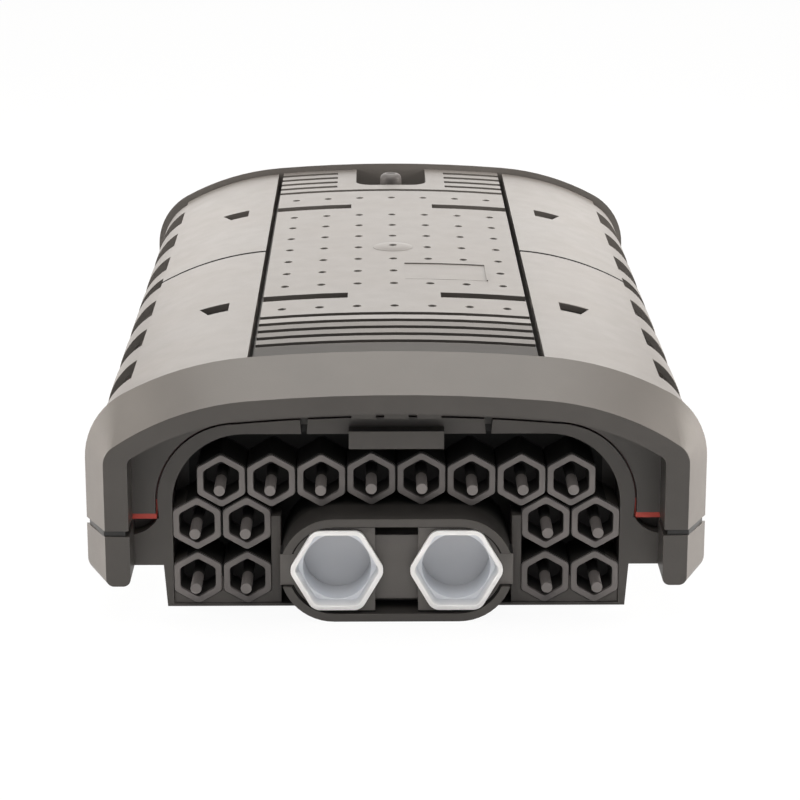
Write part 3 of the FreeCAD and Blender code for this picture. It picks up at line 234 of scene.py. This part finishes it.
# %% Lamps
lamp_colour = (1.0, 0.96, 0.91)
not_reflected = ("left", "right")
lamps = (
    ("key", (0.0, 0.15, 1.4), (0.0, 0.0, 0.05), 1.2, 24),
    ("rear", (0.0, 1.5, 0.65), (0.0, 0.0, 0.08), 1.2, 7),
    ("left", (-1.0, 0.05, 0.32), (0.0, -0.05, 0.05), 0.6, 48),
    ("right", (1.0, 0.05, 0.32), (0.0, -0.05, 0.05), 0.6, 57),
    ("front", (-0.1, -1.25, 1.6), (0.0, -0.1, 0.05), 1.0, 13),
)
for name, place, aim, width, power in lamps:
    bpy.ops.object.light_add(type="AREA", location=place)
    lamp = bpy.context.object
    lamp.name = name
    lamp.data.size = width
    lamp.data.energy = power
    lamp.data.color = lamp_colour
    lamp.visible_glossy = name not in not_reflected
    lamp.rotation_euler = (Vector(aim) - Vector(place)).to_track_quat("-Z", "Y").to_euler()
print("lamps:", [lamp[0] for lamp in lamps])

# %% [markdown]
# ## Moulded plastic
# The shells are moulded in a warm charcoal plastic with a fine even grain and faint cloudy changes of tone
# and gloss. Each piece could have a finish of its own; one function makes them all, because they differ
# only in tone, roughness and cloud.

# %% Moulded plastic
plastic_gloss = 0.35
cloud_per_metre, cloud_detail, cloud_range = 22, 4, (0.3, 0.7)
mottle_per_metre, mottle_detail, mottle_swing = 110, 5, 0.016
grain_per_metre, grain_height, grain_strength = 1700, 0.00004, 0.6
gloss_swing = 0.06


def moulded(name, tone, roughness=0.42, cloud=0.12):
    """Plastic with a grain, a cloudy tone and an uneven gloss."""
    material, tree, shader = new_finish(name)
    shader.inputs["Specular IOR Level"].default_value = plastic_gloss
    place = own_place(tree)
    drift = noise(tree, place, cloud_per_metre, cloud_detail)
    shades = [[v * (1 - cloud) for v in tone], [v * (1 + cloud) for v in tone]]
    tree.links.new(blend(tree, drift, list(zip(cloud_range, shades))), shader.inputs["Base Color"])
    gloss = spread(tree, drift, roughness - gloss_swing, roughness + gloss_swing)
    mottle = noise(tree, place, mottle_per_metre, mottle_detail)
    uneven = spread(tree, mottle, -mottle_swing, mottle_swing, *cloud_range)
    tree.links.new(step(tree, "ADD", gloss, uneven), shader.inputs["Roughness"])
    bump = tree.nodes.new("ShaderNodeBump")
    bump.inputs["Strength"].default_value = grain_strength
    bump.inputs["Distance"].default_value = grain_height
    tree.links.new(noise(tree, place, grain_per_metre), bump.inputs["Height"])
    tree.links.new(bump.outputs["Normal"], shader.inputs["Normal"])
    return material


charcoal = (0.064, 0.059, 0.055)
cover_plastic = moulded("charcoal_cover", charcoal)
base_plastic = moulded("charcoal_base", charcoal)
latch_plastic = moulded("charcoal_latch", charcoal, roughness=0.4)
# painted light: the plugs get a lighter tone than the shell to make up for the shade of the port recess
plug_plastic = moulded("charcoal_plug", (0.175, 0.162, 0.16))
insert_plastic = moulded("charcoal_insert", (0.105, 0.098, 0.093), roughness=0.45)
web_plastic = moulded("charcoal_web", (0.075, 0.069, 0.065), roughness=0.5)
valve_plastic = moulded("charcoal_valve", (0.035, 0.032, 0.031), roughness=0.5)
tray_plastic = moulded("grey_tray", (0.55, 0.55, 0.53), roughness=0.4)
holder_plastic = moulded("dark_comb", (0.08, 0.08, 0.08), roughness=0.45)
red_silicone = moulded("red_silicone", (0.42, 0.05, 0.035), roughness=0.45, cloud=0.08)
black_rubber = moulded("black_rubber", (0.03, 0.03, 0.03), roughness=0.6)
print("moulded finishes, from", cover_plastic.name, "to", black_rubber.name)

# %% [markdown]
# ## Darker places
# The recess round the ports, the valve's recess, the bore of each plug, the top of the collar round the oval
# insert and the upper part of the red gasket lie in shade, and that shade is painted into their tone. Painted
# shade also darkens the flat between the ribs and the rim, as if it fell away towards the rim, and the ends
# of two latches where they meet and lie in each other's shade. The grip ribs in front of the panel are duller
# than the panel. Each place could be a face with a finish of its own. A box in the piece's own coordinates
# marks it here, so that the solids keep their faces.

# %% Darker places


def darken(material, low, high, share, dull):
    """Shades what lies inside a box of the piece."""
    tree = material.node_tree
    inside = 1.0
    for axis, near, far in zip(own_axes(tree), low, high):
        within = step(tree, "COMPARE", axis, (near + far) / 2, (far - near) / 2)
        inside = step(tree, "MULTIPLY", inside, within)
    shade_place(tree, tree.nodes["Principled BSDF"], inside, share, dull)


front_wall = -0.193
plug_rim = front_wall + 0.0012
seam_margin = 0.0009
seam_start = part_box("latch_front_left")[1][1] - seam_margin
seam_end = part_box("latch_rear_left")[0][1] + seam_margin
dark_places = (
    ("grip ribs", cover_plastic, (-0.0565, front_wall, 0.09), (0.0565, -0.134, 0.11), 0.8, 0.14),
    # painted shade: the flat between the ribs and the rim is darkened as if it fell away towards the rim
    ("painted shade on the flat before the ribs", cover_plastic, (-0.0565, front_wall, 0.09), (0.0565, -0.1685, 0.11), 0.4, 0.2),
    # painted shade: the recess round the valve is darkened
    ("painted shade in the valve recess", cover_plastic, (-0.0182, 0.14, 0.08), (0.0182, 0.1935, 0.1022), 0.55, 0.2),
    # painted shade: the deep recess round the ports is darkened
    ("painted shade in the port recess", base_plastic, (-0.084, front_wall, 0.001), (0.084, -0.15, 0.075), 0.2, 0.2),
    # painted shadow: the top of the collar round the oval insert is darkened
    ("painted shadow on the oval collar", base_plastic, (-0.047, -0.2115, 0.001), (0.047, front_wall, 0.044), 0.45, 0.2),
    # painted shade: the bore of each plug is darkened behind its rim
    ("painted shade in the plug bores", plug_plastic, (-0.1, plug_rim, 0.0), (0.1, -0.15, 0.08), 0.16, 0.2),
    # painted shade: the upper part of the red gasket, deep in its gap, is darkened
    ("painted shade on the upper gasket", red_silicone, (-0.1, -0.22, 0.0445), (0.1, -0.15, 0.09), 0.1, 0.0),
    ("latch seam", latch_plastic, (-0.13, seam_start, 0.03), (0.13, seam_end, 0.11), 0.05, 0.5),
)
for what, material, low, high, share, dull in dark_places:
    darken(material, low, high, share, dull)
print("darker places:", [place[0] for place in dark_places])

# %% [markdown]
# ## Gap round the insert
# A narrow gap stays open between the oval insert and its collar, except at the two ears, and it is black
# because no light gets out of it. It could be cut; it is so narrow that a dark line does as well. The
# outline is a bar with round ends, so a point's distance from the bar's middle line tells how near it is
# to the rim.

# %% Gap round the insert
insert_low, insert_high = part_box("oval_insert")
insert_middle = (insert_low[2] + insert_high[2]) / 2
insert_radius = (insert_high[2] - insert_low[2]) / 2
straight_half, ear_half = 0.0247, 0.0064
gap_width, gap_share, gap_dull = 0.0006, 0.06, 0.4

tree = insert_plastic.node_tree
axes = own_axes(tree)
past_end = step(tree, "SUBTRACT", step(tree, "ABSOLUTE", axes["X"]), straight_half)
past_end = step(tree, "MAXIMUM", past_end, 0)
rise = step(tree, "ABSOLUTE", step(tree, "SUBTRACT", axes["Z"], insert_middle))
away = step(tree, "ADD", step(tree, "POWER", past_end, 2), step(tree, "POWER", rise, 2))
away = step(tree, "SQRT", away)
near_rim = step(tree, "GREATER_THAN", away, insert_radius - gap_width)
near_rim = step(tree, "MULTIPLY", near_rim, step(tree, "GREATER_THAN", rise, ear_half))
shade_place(tree, tree.nodes["Principled BSDF"], near_rim, gap_share, gap_dull)
print("gap round the insert:", gap_width, "m")

# %% [markdown]
# ## Drawn steel and frosted plastic
# The rods are drawn wire, so their streaks run along them: noise that is stretched along the rod gives
# that. The caps are frosted, milky and a little blue, and thick edges look almost white because light
# scatters inside them. Clear plastic with a cloudy filling could show it; here that light is painted
# into a milky body instead, which stays near white at the lip, turns a little blue and then darkens
# towards the floor of the cup as painted shade. The painted body is quicker and steadier.

# %% Drawn steel
steel_tone = (0.56, 0.56, 0.57, 1)
steel_roughness = (0.22, 0.45)
streak_per_metre, streak_stretch = 2500, (1, 0.02, 1)

steel, tree, shader = new_finish("drawn_steel")
shader.inputs["Metallic"].default_value = 1.0
shader.inputs["Base Color"].default_value = steel_tone
stretch = tree.nodes.new("ShaderNodeMapping")
stretch.inputs["Scale"].default_value = streak_stretch
tree.links.new(own_place(tree), stretch.inputs["Vector"])
streak = noise(tree, stretch.outputs["Vector"], streak_per_metre)
tree.links.new(spread(tree, streak, *steel_roughness), shader.inputs["Roughness"])
print("steel:", steel.name)

# %% Frosted and clear plastic
plastic_index = 1.49
scatter_weight, scatter_reach, scatter_metres = 0.5, (1, 1, 1), 0.004
milk_per_metre, milk_shade = 90, 0.94


def milky(name, tone, through, roughness):
    """Plastic that scatters light inside and lets a share of it through."""
    material, tree, shader = new_finish(name)
    shader.inputs["Transmission Weight"].default_value = through
    shader.inputs["IOR"].default_value = plastic_index
    shader.inputs["Roughness"].default_value = roughness
    shader.inputs["Subsurface Weight"].default_value = scatter_weight * (1 - through)
    shader.inputs["Subsurface Radius"].default_value = scatter_reach
    shader.inputs["Subsurface Scale"].default_value = scatter_metres
    drift = noise(tree, own_place(tree), milk_per_metre)
    stops = ((0.0, [v * milk_shade for v in tone]), (1.0, tone))
    tree.links.new(blend(tree, drift, stops), shader.inputs["Base Color"])
    return material


cap_low, cap_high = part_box("hex_cap_left")
# painted light and shade on the caps: near white at the lip, darker towards the floor of the cup
painted_cap_light = (
    (0.0, (0.985, 0.99, 1.0)), (0.1, (0.93, 0.95, 0.99)),
    (0.3, (0.76, 0.8, 0.87)), (1.0, (0.62, 0.63, 0.65)),
)
cap_plastic = milky("frosted_cap", (0.96, 0.965, 0.975), 0.03, 0.3)
tree = cap_plastic.node_tree
depth = spread(tree, own_axes(tree)["Y"], 0.0, 1.0, cap_low[1], cap_high[1])
multiply_tone(tree, tree.nodes["Principled BSDF"], blend(tree, depth, painted_cap_light), 1.0)
lid_plastic = milky("clear_lid", (0.9, 0.92, 0.93), 0.8, 0.12)
print("milky finishes:", cap_plastic.name, lid_plastic.name)

# %% [markdown]
# ## Finish and edges of the solids
# No moulded edge is knife sharp: it has a small radius everywhere, and that thin line of light is what the
# eye reads as plastic. The edges could be rounded in the solids, at the cost of many small faces. The
# CAD meshes are loose triangles, so a weld joins them, a planar decimate turns each flat back into one
# face, and a bevel then rounds only the true edges.

# %% Finish of each node
finishes = (
    ("cover_shell", cover_plastic), ("base_shell", base_plastic), ("latch_", latch_plastic),
    ("port_plug_", plug_plastic), ("oval_insert", insert_plastic), ("hex_cap_", cap_plastic),
    ("gasket", red_silicone), ("oval_seal", black_rubber), ("valve_seal", black_rubber),
    ("valve_", valve_plastic), ("hinge_rod_", steel), ("tray_pin_", steel), ("cable_anchor", steel),
    ("organiser_plate", tray_plastic), ("splice_tray_", tray_plastic), ("splice_holder_", holder_plastic),
    ("tray_lid", lid_plastic),
)
for name, node in nodes.items():
    finish = next(material for start, material in finishes if name.startswith(start))
    node.data.materials.clear()
    node.data.materials.append(finish)
print("finished nodes:", len(nodes))

# %% Edges of each node
weld_reach = 2e-6
flat_angle = math.radians(0.6)
edge_angle = math.radians(32)
edge_segments = 2
face_weight = 100
edge_radii = (
    ("cover_shell", 0.00025), ("base_shell", 0.0003), ("latch_", 0.0005), ("port_plug_", 0.0003),
    ("oval_insert", 0.0004), ("hex_cap_", 0.0006), ("valve_cap", 0.0004),
)


def soften(node, radius):
    """Rounds the true edges of a solid."""
    weld = node.modifiers.new("weld", "WELD")
    weld.merge_threshold = weld_reach
    flat = node.modifiers.new("flat", "DECIMATE")
    flat.decimate_type = "DISSOLVE"
    flat.angle_limit = flat_angle
    round_off = node.modifiers.new("edge", "BEVEL")
    round_off.width = radius
    round_off.segments = edge_segments
    round_off.limit_method = "ANGLE"
    round_off.angle_limit = edge_angle
    round_off.use_clamp_overlap = True
    even = node.modifiers.new("even", "WEIGHTED_NORMAL")
    even.weight = face_weight
    even.keep_sharp = False


softened = 0
for name, node in nodes.items():
    for start, radius in edge_radii:
        if name.startswith(start):
            soften(node, radius)
            softened += 1
print("rounded nodes:", softened)

# %% [markdown]
# ## Tools for modelling
# The small mouldings are all made in the same few moves: start from a simple form, pick faces or edges by
# a rule, push, inset or round them, and copy the result. They could be picked by hand; a rule gives the
# same choice on every run.

# %% Tools for modelling
upright = 0.9
touching = 1e-5


def start_piece(name):
    """Names the new form and sets its place, turn and scale into its points."""
    piece = bpy.context.object
    piece.name = name
    bpy.ops.object.transform_apply(location=True, rotation=True, scale=True)
    return piece


def block(name, low, high):
    """A box between two corners."""
    middle = [(a + b) / 2 for a, b in zip(low, high)]
    bpy.ops.object.select_all(action="DESELECT")
    bpy.ops.mesh.primitive_cube_add(size=1, location=middle)
    bpy.context.object.scale = [b - a for a, b in zip(low, high)]
    return start_piece(name)


def pick(piece, kind, chosen):
    """Goes to edit mode with the faces, edges or points selected that a rule chooses."""
    bpy.ops.object.mode_set(mode="EDIT")
    bpy.ops.mesh.select_mode(type=kind)
    bpy.ops.mesh.select_all(action="DESELECT")
    bpy.ops.object.mode_set(mode="OBJECT")
    mesh = piece.data
    for part in {"FACE": mesh.polygons, "EDGE": mesh.edges, "VERT": mesh.vertices}[kind]:
        part.select = chosen(part)
    bpy.ops.object.mode_set(mode="EDIT")


def push(x=0.0, y=0.0, z=0.0):
    """Extrudes the selected faces."""
    bpy.ops.mesh.extrude_region_move(TRANSFORM_OT_translate={"value": (x, y, z)})


def turn_outward():
    """Makes all faces look outward."""
    bpy.ops.mesh.select_all(action="SELECT")
    bpy.ops.mesh.normals_make_consistent(inside=False)


def round_edges(piece, width, segments, degrees):
    """Rounds the edges that are sharper than an angle."""
    edge = piece.modifiers.new("edge", "BEVEL")
    edge.width = width
    edge.segments = segments
    edge.limit_method = "ANGLE"
    edge.angle_limit = math.radians(degrees)
    bpy.ops.object.modifier_apply(modifier=edge.name)


def smooth(degrees):
    """Shades the active piece smooth, apart from edges sharper than an angle."""
    bpy.ops.object.shade_smooth_by_angle(angle=math.radians(degrees))


def copy_of(piece, name):
    """A copy with a mesh of its own, in edit mode with everything selected."""
    bpy.ops.object.select_all(action="DESELECT")
    piece.select_set(True)
    bpy.context.view_layer.objects.active = piece
    bpy.ops.object.duplicate(linked=False)
    copy = bpy.context.object
    copy.name = name
    bpy.ops.object.mode_set(mode="EDIT")
    bpy.ops.mesh.select_all(action="SELECT")
    return copy


def mirror_of(piece, name, mirror):
    """A copy on the other side of the closure."""
    copy = copy_of(piece, name)
    bpy.ops.transform.resize(value=mirror, center_override=(0, 0, 0))
    bpy.ops.mesh.normals_make_consistent(inside=False)
    bpy.ops.object.mode_set(mode="OBJECT")
    return copy


print("tools for modelling are ready")

# %% [markdown]
# ## Bare plate on the panel
# Beside the gate mark the panel has a small plain field with a step along its far side and its right end.
# It could be a flat sheet, but the panel is crowned. A thin radial strip is spun about the crown's own
# axis instead, so the field follows the crown, and its far and right margins are raised.

# %% Bare plate sizes
panel_drop = 0.003
crown_radius = 0.717
plate_left, plate_right = 0.005, 0.0416
plate_near, plate_far = -0.058, -0.028
plate_sunk, plate_proud = 0.0004, 0.00004
step_width, step_rise = 0.0006, 0.00042
plate_steps = 12
facing_up = 0.5

panel_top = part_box("cover_shell")[1][2] - panel_drop
plate_middle = (plate_near + plate_far) / 2
plate_height = panel_top + (plate_proud - plate_sunk) / 2
crown_axis = (0, plate_middle, panel_top - crown_radius)
turn_start = math.asin(plate_left / crown_radius)
turn_end = math.asin(plate_right / crown_radius)
turn_step = turn_end - step_width / crown_radius
step_left = crown_radius * math.sin(turn_step)
print("plate:", round(plate_right - plate_left, 4), "by", round(plate_far - plate_near, 4), "m")

# %% Bare plate
bpy.ops.object.select_all(action="DESELECT")
bpy.ops.mesh.primitive_plane_add(size=1, rotation=(0, math.pi / 2, 0), location=(0, plate_middle, plate_height))
bpy.context.object.scale = (plate_sunk + plate_proud, plate_far - plate_near, 1)
plate = start_piece("bare_plate")
bpy.ops.object.mode_set(mode="EDIT")
bpy.ops.mesh.select_mode(type="FACE")
bpy.ops.mesh.select_all(action="SELECT")
bpy.ops.transform.rotate(value=-turn_start, orient_axis="Y", orient_type="GLOBAL", center_override=crown_axis)
bpy.ops.mesh.spin(steps=plate_steps, angle=turn_start - turn_end, center=crown_axis, axis=(0, 1, 0))
bpy.ops.mesh.select_all(action="SELECT")
bpy.ops.mesh.bisect(plane_co=(0, plate_far - step_width, 0), plane_no=(0, 1, 0))
bpy.ops.mesh.select_all(action="SELECT")
bpy.ops.mesh.bisect(plane_co=crown_axis, plane_no=(math.cos(turn_step), 0, -math.sin(turn_step)))
turn_outward()


def on_margin(face):
    """The upper faces of the far and the right margin."""
    margin = face.center.y > plate_far - step_width or face.center.x > step_left
    return margin and face.normal.z > facing_up


pick(plate, "FACE", on_margin)
push(z=step_rise)
bpy.ops.object.mode_set(mode="OBJECT")
smooth(30)
plate.data.materials.append(cover_plastic)
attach(plate, "base")
print("bare plate:", len(plate.data.polygons), "faces")

# %% [markdown]
# ## Frosted caps
# Each cap is a lid with a hexagonal mouth that runs into a round cup. Its lip is thin and its corners are
# well rounded. It could be cut from blocks; here one hexagon is drawn and its corners are rounded, then the
# front is inset and pushed in for the mouth, and the back is inset and drawn out for the plug. A ring
# is made round by pushing its points onto a circle. The second cap is a copy.

# %% Frosted cap sizes
lip_depth, lip_width = 0.002, 0.0018
corner_cut, corner_steps, side_cuts = 0.0027, 5, 5
mouth_depth, mouth_narrow, mouth_ledge = 0.0055, 0.94, 0.0004
plug_inset, plug_hex_depth = 0.00145, 0.006
cup_radius, cup_outside, cup_floor = 0.01355, 0.01505, 0.0015
roll_width, roll_segments, roll_degrees = 0.0005, 3, 40
cap_flats = cap_high[2] - cap_low[2]
cap_x = (cap_low[0] + cap_high[0]) / 2
cap_z = (cap_low[2] + cap_high[2]) / 2
lip_back = cap_low[1] + lip_depth
cap_centre = (cap_x, lip_back, cap_z)
print("cap across flats:", round(cap_flats, 4), "m")

# %% Frosted cap tools


def squeeze(share):
    """Scales what is selected about the axis of the cap."""
    bpy.ops.transform.resize(value=(share, 1, share), center_override=cap_centre)


def make_round(piece, radius):
    """Pushes the selected ring onto a circle of a radius."""
    bpy.ops.transform.tosphere(value=1.0)
    bpy.ops.object.mode_set(mode="OBJECT")
    point = next(vertex.co for vertex in piece.data.vertices if vertex.select)
    now = math.hypot(point.x - cap_x, point.z - cap_z)
    bpy.ops.object.mode_set(mode="EDIT")
    squeeze(radius / now)


def long_side(edge):
    """The straight sides between the rounded corners."""
    ends = [cap.data.vertices[place].co for place in edge.vertices]
    return (ends[0] - ends[1]).length > 2 * corner_cut


def lip_underside(face):
    """The faces of the lip that look to the back."""
    return abs(face.center.y - lip_back) < touching and face.normal.y > upright


print("cap tools are ready")

# %% Frosted cap on the left
bpy.ops.object.select_all(action="DESELECT")
bpy.ops.mesh.primitive_circle_add(vertices=6, radius=cap_flats / math.sqrt(3), fill_type="NGON",
                                  location=cap_centre, rotation=(math.pi / 2, math.pi / 6, 0))
cap = start_piece("frosted_cap_left")
bpy.ops.object.mode_set(mode="EDIT")
bpy.ops.mesh.select_mode(type="VERT")
bpy.ops.mesh.select_all(action="SELECT")
bpy.ops.mesh.bevel(offset=corner_cut, segments=corner_steps, affect="VERTICES")
pick(cap, "EDGE", long_side)
bpy.ops.mesh.subdivide(number_cuts=side_cuts)
bpy.ops.mesh.select_mode(type="FACE")
bpy.ops.mesh.select_all(action="SELECT")
push(y=-lip_depth)
bpy.ops.mesh.inset(thickness=lip_width, depth=0)
push(y=mouth_depth)
squeeze(mouth_narrow)
bpy.ops.mesh.inset(thickness=mouth_ledge, depth=0)
make_round(cap, cup_radius)
push(y=cap_high[1] - cup_floor - cap_low[1] - mouth_depth)
turn_outward()
pick(cap, "FACE", lip_underside)
bpy.ops.mesh.inset(thickness=plug_inset, depth=0)
push(y=plug_hex_depth)
make_round(cap, cup_outside)
push(y=cap_high[1] - lip_back - plug_hex_depth)
turn_outward()
bpy.ops.object.mode_set(mode="OBJECT")
round_edges(cap, roll_width, roll_segments, roll_degrees)
smooth(35)
cap.data.materials.append(cap_plastic)
print("frosted cap:", len(cap.data.polygons), "faces")

# %% Frosted cap on the right
twin = copy_of(cap, "frosted_cap_right")
bpy.ops.transform.translate(value=(-2 * cap_x, 0, 0))
bpy.ops.object.mode_set(mode="OBJECT")
for piece, side in ((cap, "left"), (twin, "right")):
    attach(piece, "base")
    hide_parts("hex_cap_" + side)
print("caps:", cap.name, twin.name)

# %% [markdown]
# ## Valve cap
# The cap of the inflation valve is a turned knob with a rounded shoulder and a shallow dish on top, hollow
# below for the stem. It could be spun from its outline; a drum with one rounded rim, an inset top and a
# bore gives the same form in fewer moves.

# %% Valve cap
knob_low, knob_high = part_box("valve_cap")
knob_radius = (knob_high[0] - knob_low[0]) / 2
knob_y = (knob_low[1] + knob_high[1]) / 2
knob_top, knob_sides = 0.1061, 48
shoulder, shoulder_steps = 0.0026, 6
dish_inset, dish_slope, dish_depth = 0.0004, 0.0005, 0.0004
knob_wall, knob_bore = 0.0012, 0.0070
level, most_corners = 0.99, 8

bpy.ops.object.select_all(action="DESELECT")
bpy.ops.mesh.primitive_cylinder_add(vertices=knob_sides, radius=knob_radius, depth=knob_top - knob_low[2],
                                    location=(0, knob_y, (knob_top + knob_low[2]) / 2))
knob = start_piece("valve_knob")
pick(knob, "FACE", lambda face: face.normal.z > upright)
bpy.ops.mesh.bevel(offset=shoulder, segments=shoulder_steps, affect="EDGES")
pick(knob, "FACE", lambda face: face.normal.z > level and len(face.vertices) > most_corners)
bpy.ops.mesh.inset(thickness=dish_inset, depth=0)
bpy.ops.mesh.inset(thickness=dish_slope, depth=-dish_depth)
pick(knob, "FACE", lambda face: face.normal.z < -upright)
bpy.ops.mesh.inset(thickness=knob_wall, depth=0)
push(z=knob_bore)
bpy.ops.object.mode_set(mode="OBJECT")
smooth(40)
knob.data.materials.append(valve_plastic)
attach(knob, "valve_cap")
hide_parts("valve_cap")
print("valve knob:", len(knob.data.polygons), "faces")

# %% [markdown]
# ## Webs of the port block
# Below and beside the lower ports the block is closed by a web flush with the plugs. It could be drawn
# as one outline; here a bar is split, its inner end is drawn up beside the collar, and the ports are cut
# out by hexagonal cutters, because their places come from the plugs themselves.

# %% Web on the left
web_front, web_back = -0.1928, -0.179
web_outer, web_inner, web_step = 0.0892, 0.0462, 0.0501
web_floor, web_top, web_rise = 0.0009, 0.0123, 0.0255
web_edge, web_edge_segments, web_edge_degrees = 0.0003, 2, 32
port_play, cutter_length = 0.0001, 0.06

web = block("port_web_left", (-web_outer, web_front, web_floor), (-web_inner, web_back, web_top))
bpy.ops.object.mode_set(mode="EDIT")
bpy.ops.mesh.select_mode(type="FACE")
bpy.ops.mesh.select_all(action="SELECT")
bpy.ops.mesh.bisect(plane_co=(-web_step, 0, 0), plane_no=(1, 0, 0))
pick(web, "FACE", lambda face: face.normal.z > upright and face.center.x > -web_step)
push(z=web_rise)
bpy.ops.object.mode_set(mode="OBJECT")
for port in ("port_plug_lower_13", "port_plug_lower_14"):
    low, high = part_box(port)
    half_flats = (high[0] - low[0]) / 2 + port_play
    port_middle = ((low[0] + high[0]) / 2, web_front, (low[2] + high[2]) / 2)
    bpy.ops.mesh.primitive_cylinder_add(vertices=6, radius=half_flats * 2 / math.sqrt(3), depth=cutter_length,
                                        rotation=(math.pi / 2, 0, 0), location=port_middle)
    cutter = bpy.context.object
    bpy.ops.object.select_all(action="DESELECT")
    web.select_set(True)
    bpy.context.view_layer.objects.active = web
    cut = web.modifiers.new("cut", "BOOLEAN")
    cut.object = cutter
    cut.solver = "EXACT"
    bpy.ops.object.modifier_apply(modifier=cut.name)
    bpy.data.objects.remove(cutter)
round_edges(web, web_edge, web_edge_segments, web_edge_degrees)
smooth(30)
web.data.materials.append(web_plastic)
print("port web:", len(web.data.polygons), "faces")

# %% Web on the right
mirror_web = mirror_of(web, "port_web_right", (-1, 1, 1))
for piece in (web, mirror_web):
    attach(piece, "base")
print("webs:", web.name, mirror_web.name)

# %% [markdown]
# ## Parting pads
# The joint between the cover's rim and each foot shows as a narrow dark line. A dark pad, set a little
# behind the outer faces, fills the gap and gives that line. It could be a plain strip, but the foot
# tapers, so a block is tapered by moving its outer edge. Its edges are rounded, and it is copied to the
# other corners.

# %% Parting pads
pad_inner, pad_outer, pad_outer_front = 0.1065, 0.1222, 0.1150
pad_front, pad_rear = -0.2112, -0.1945
pad_low, pad_high = 0.0355, 0.0381
pad_edge, pad_edge_segments, pad_edge_degrees = 0.0003, 2, 30
corner_reach = 1e-4
other_corners = ((-1, 1, 1), (1, -1, 1), (-1, -1, 1))


def outer_front_corner(vertex):
    """The points of the outer front edge."""
    return vertex.co.x > pad_outer - corner_reach and vertex.co.y < pad_front + corner_reach


rubber_pad = block("parting_pad_1", (pad_inner, pad_front, pad_low), (pad_outer, pad_rear, pad_high))
pick(rubber_pad, "VERT", outer_front_corner)
bpy.ops.transform.translate(value=(pad_outer_front - pad_outer, 0, 0))
bpy.ops.object.mode_set(mode="OBJECT")
round_edges(rubber_pad, pad_edge, pad_edge_segments, pad_edge_degrees)
smooth(30)
rubber_pad.data.materials.append(black_rubber)
pads = [rubber_pad]
for number, mirror in enumerate(other_corners, 2):
    pads.append(mirror_of(rubber_pad, f"parting_pad_{number}", mirror))
for piece in pads:
    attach(piece, "base")
print("parting pads:", len(pads))
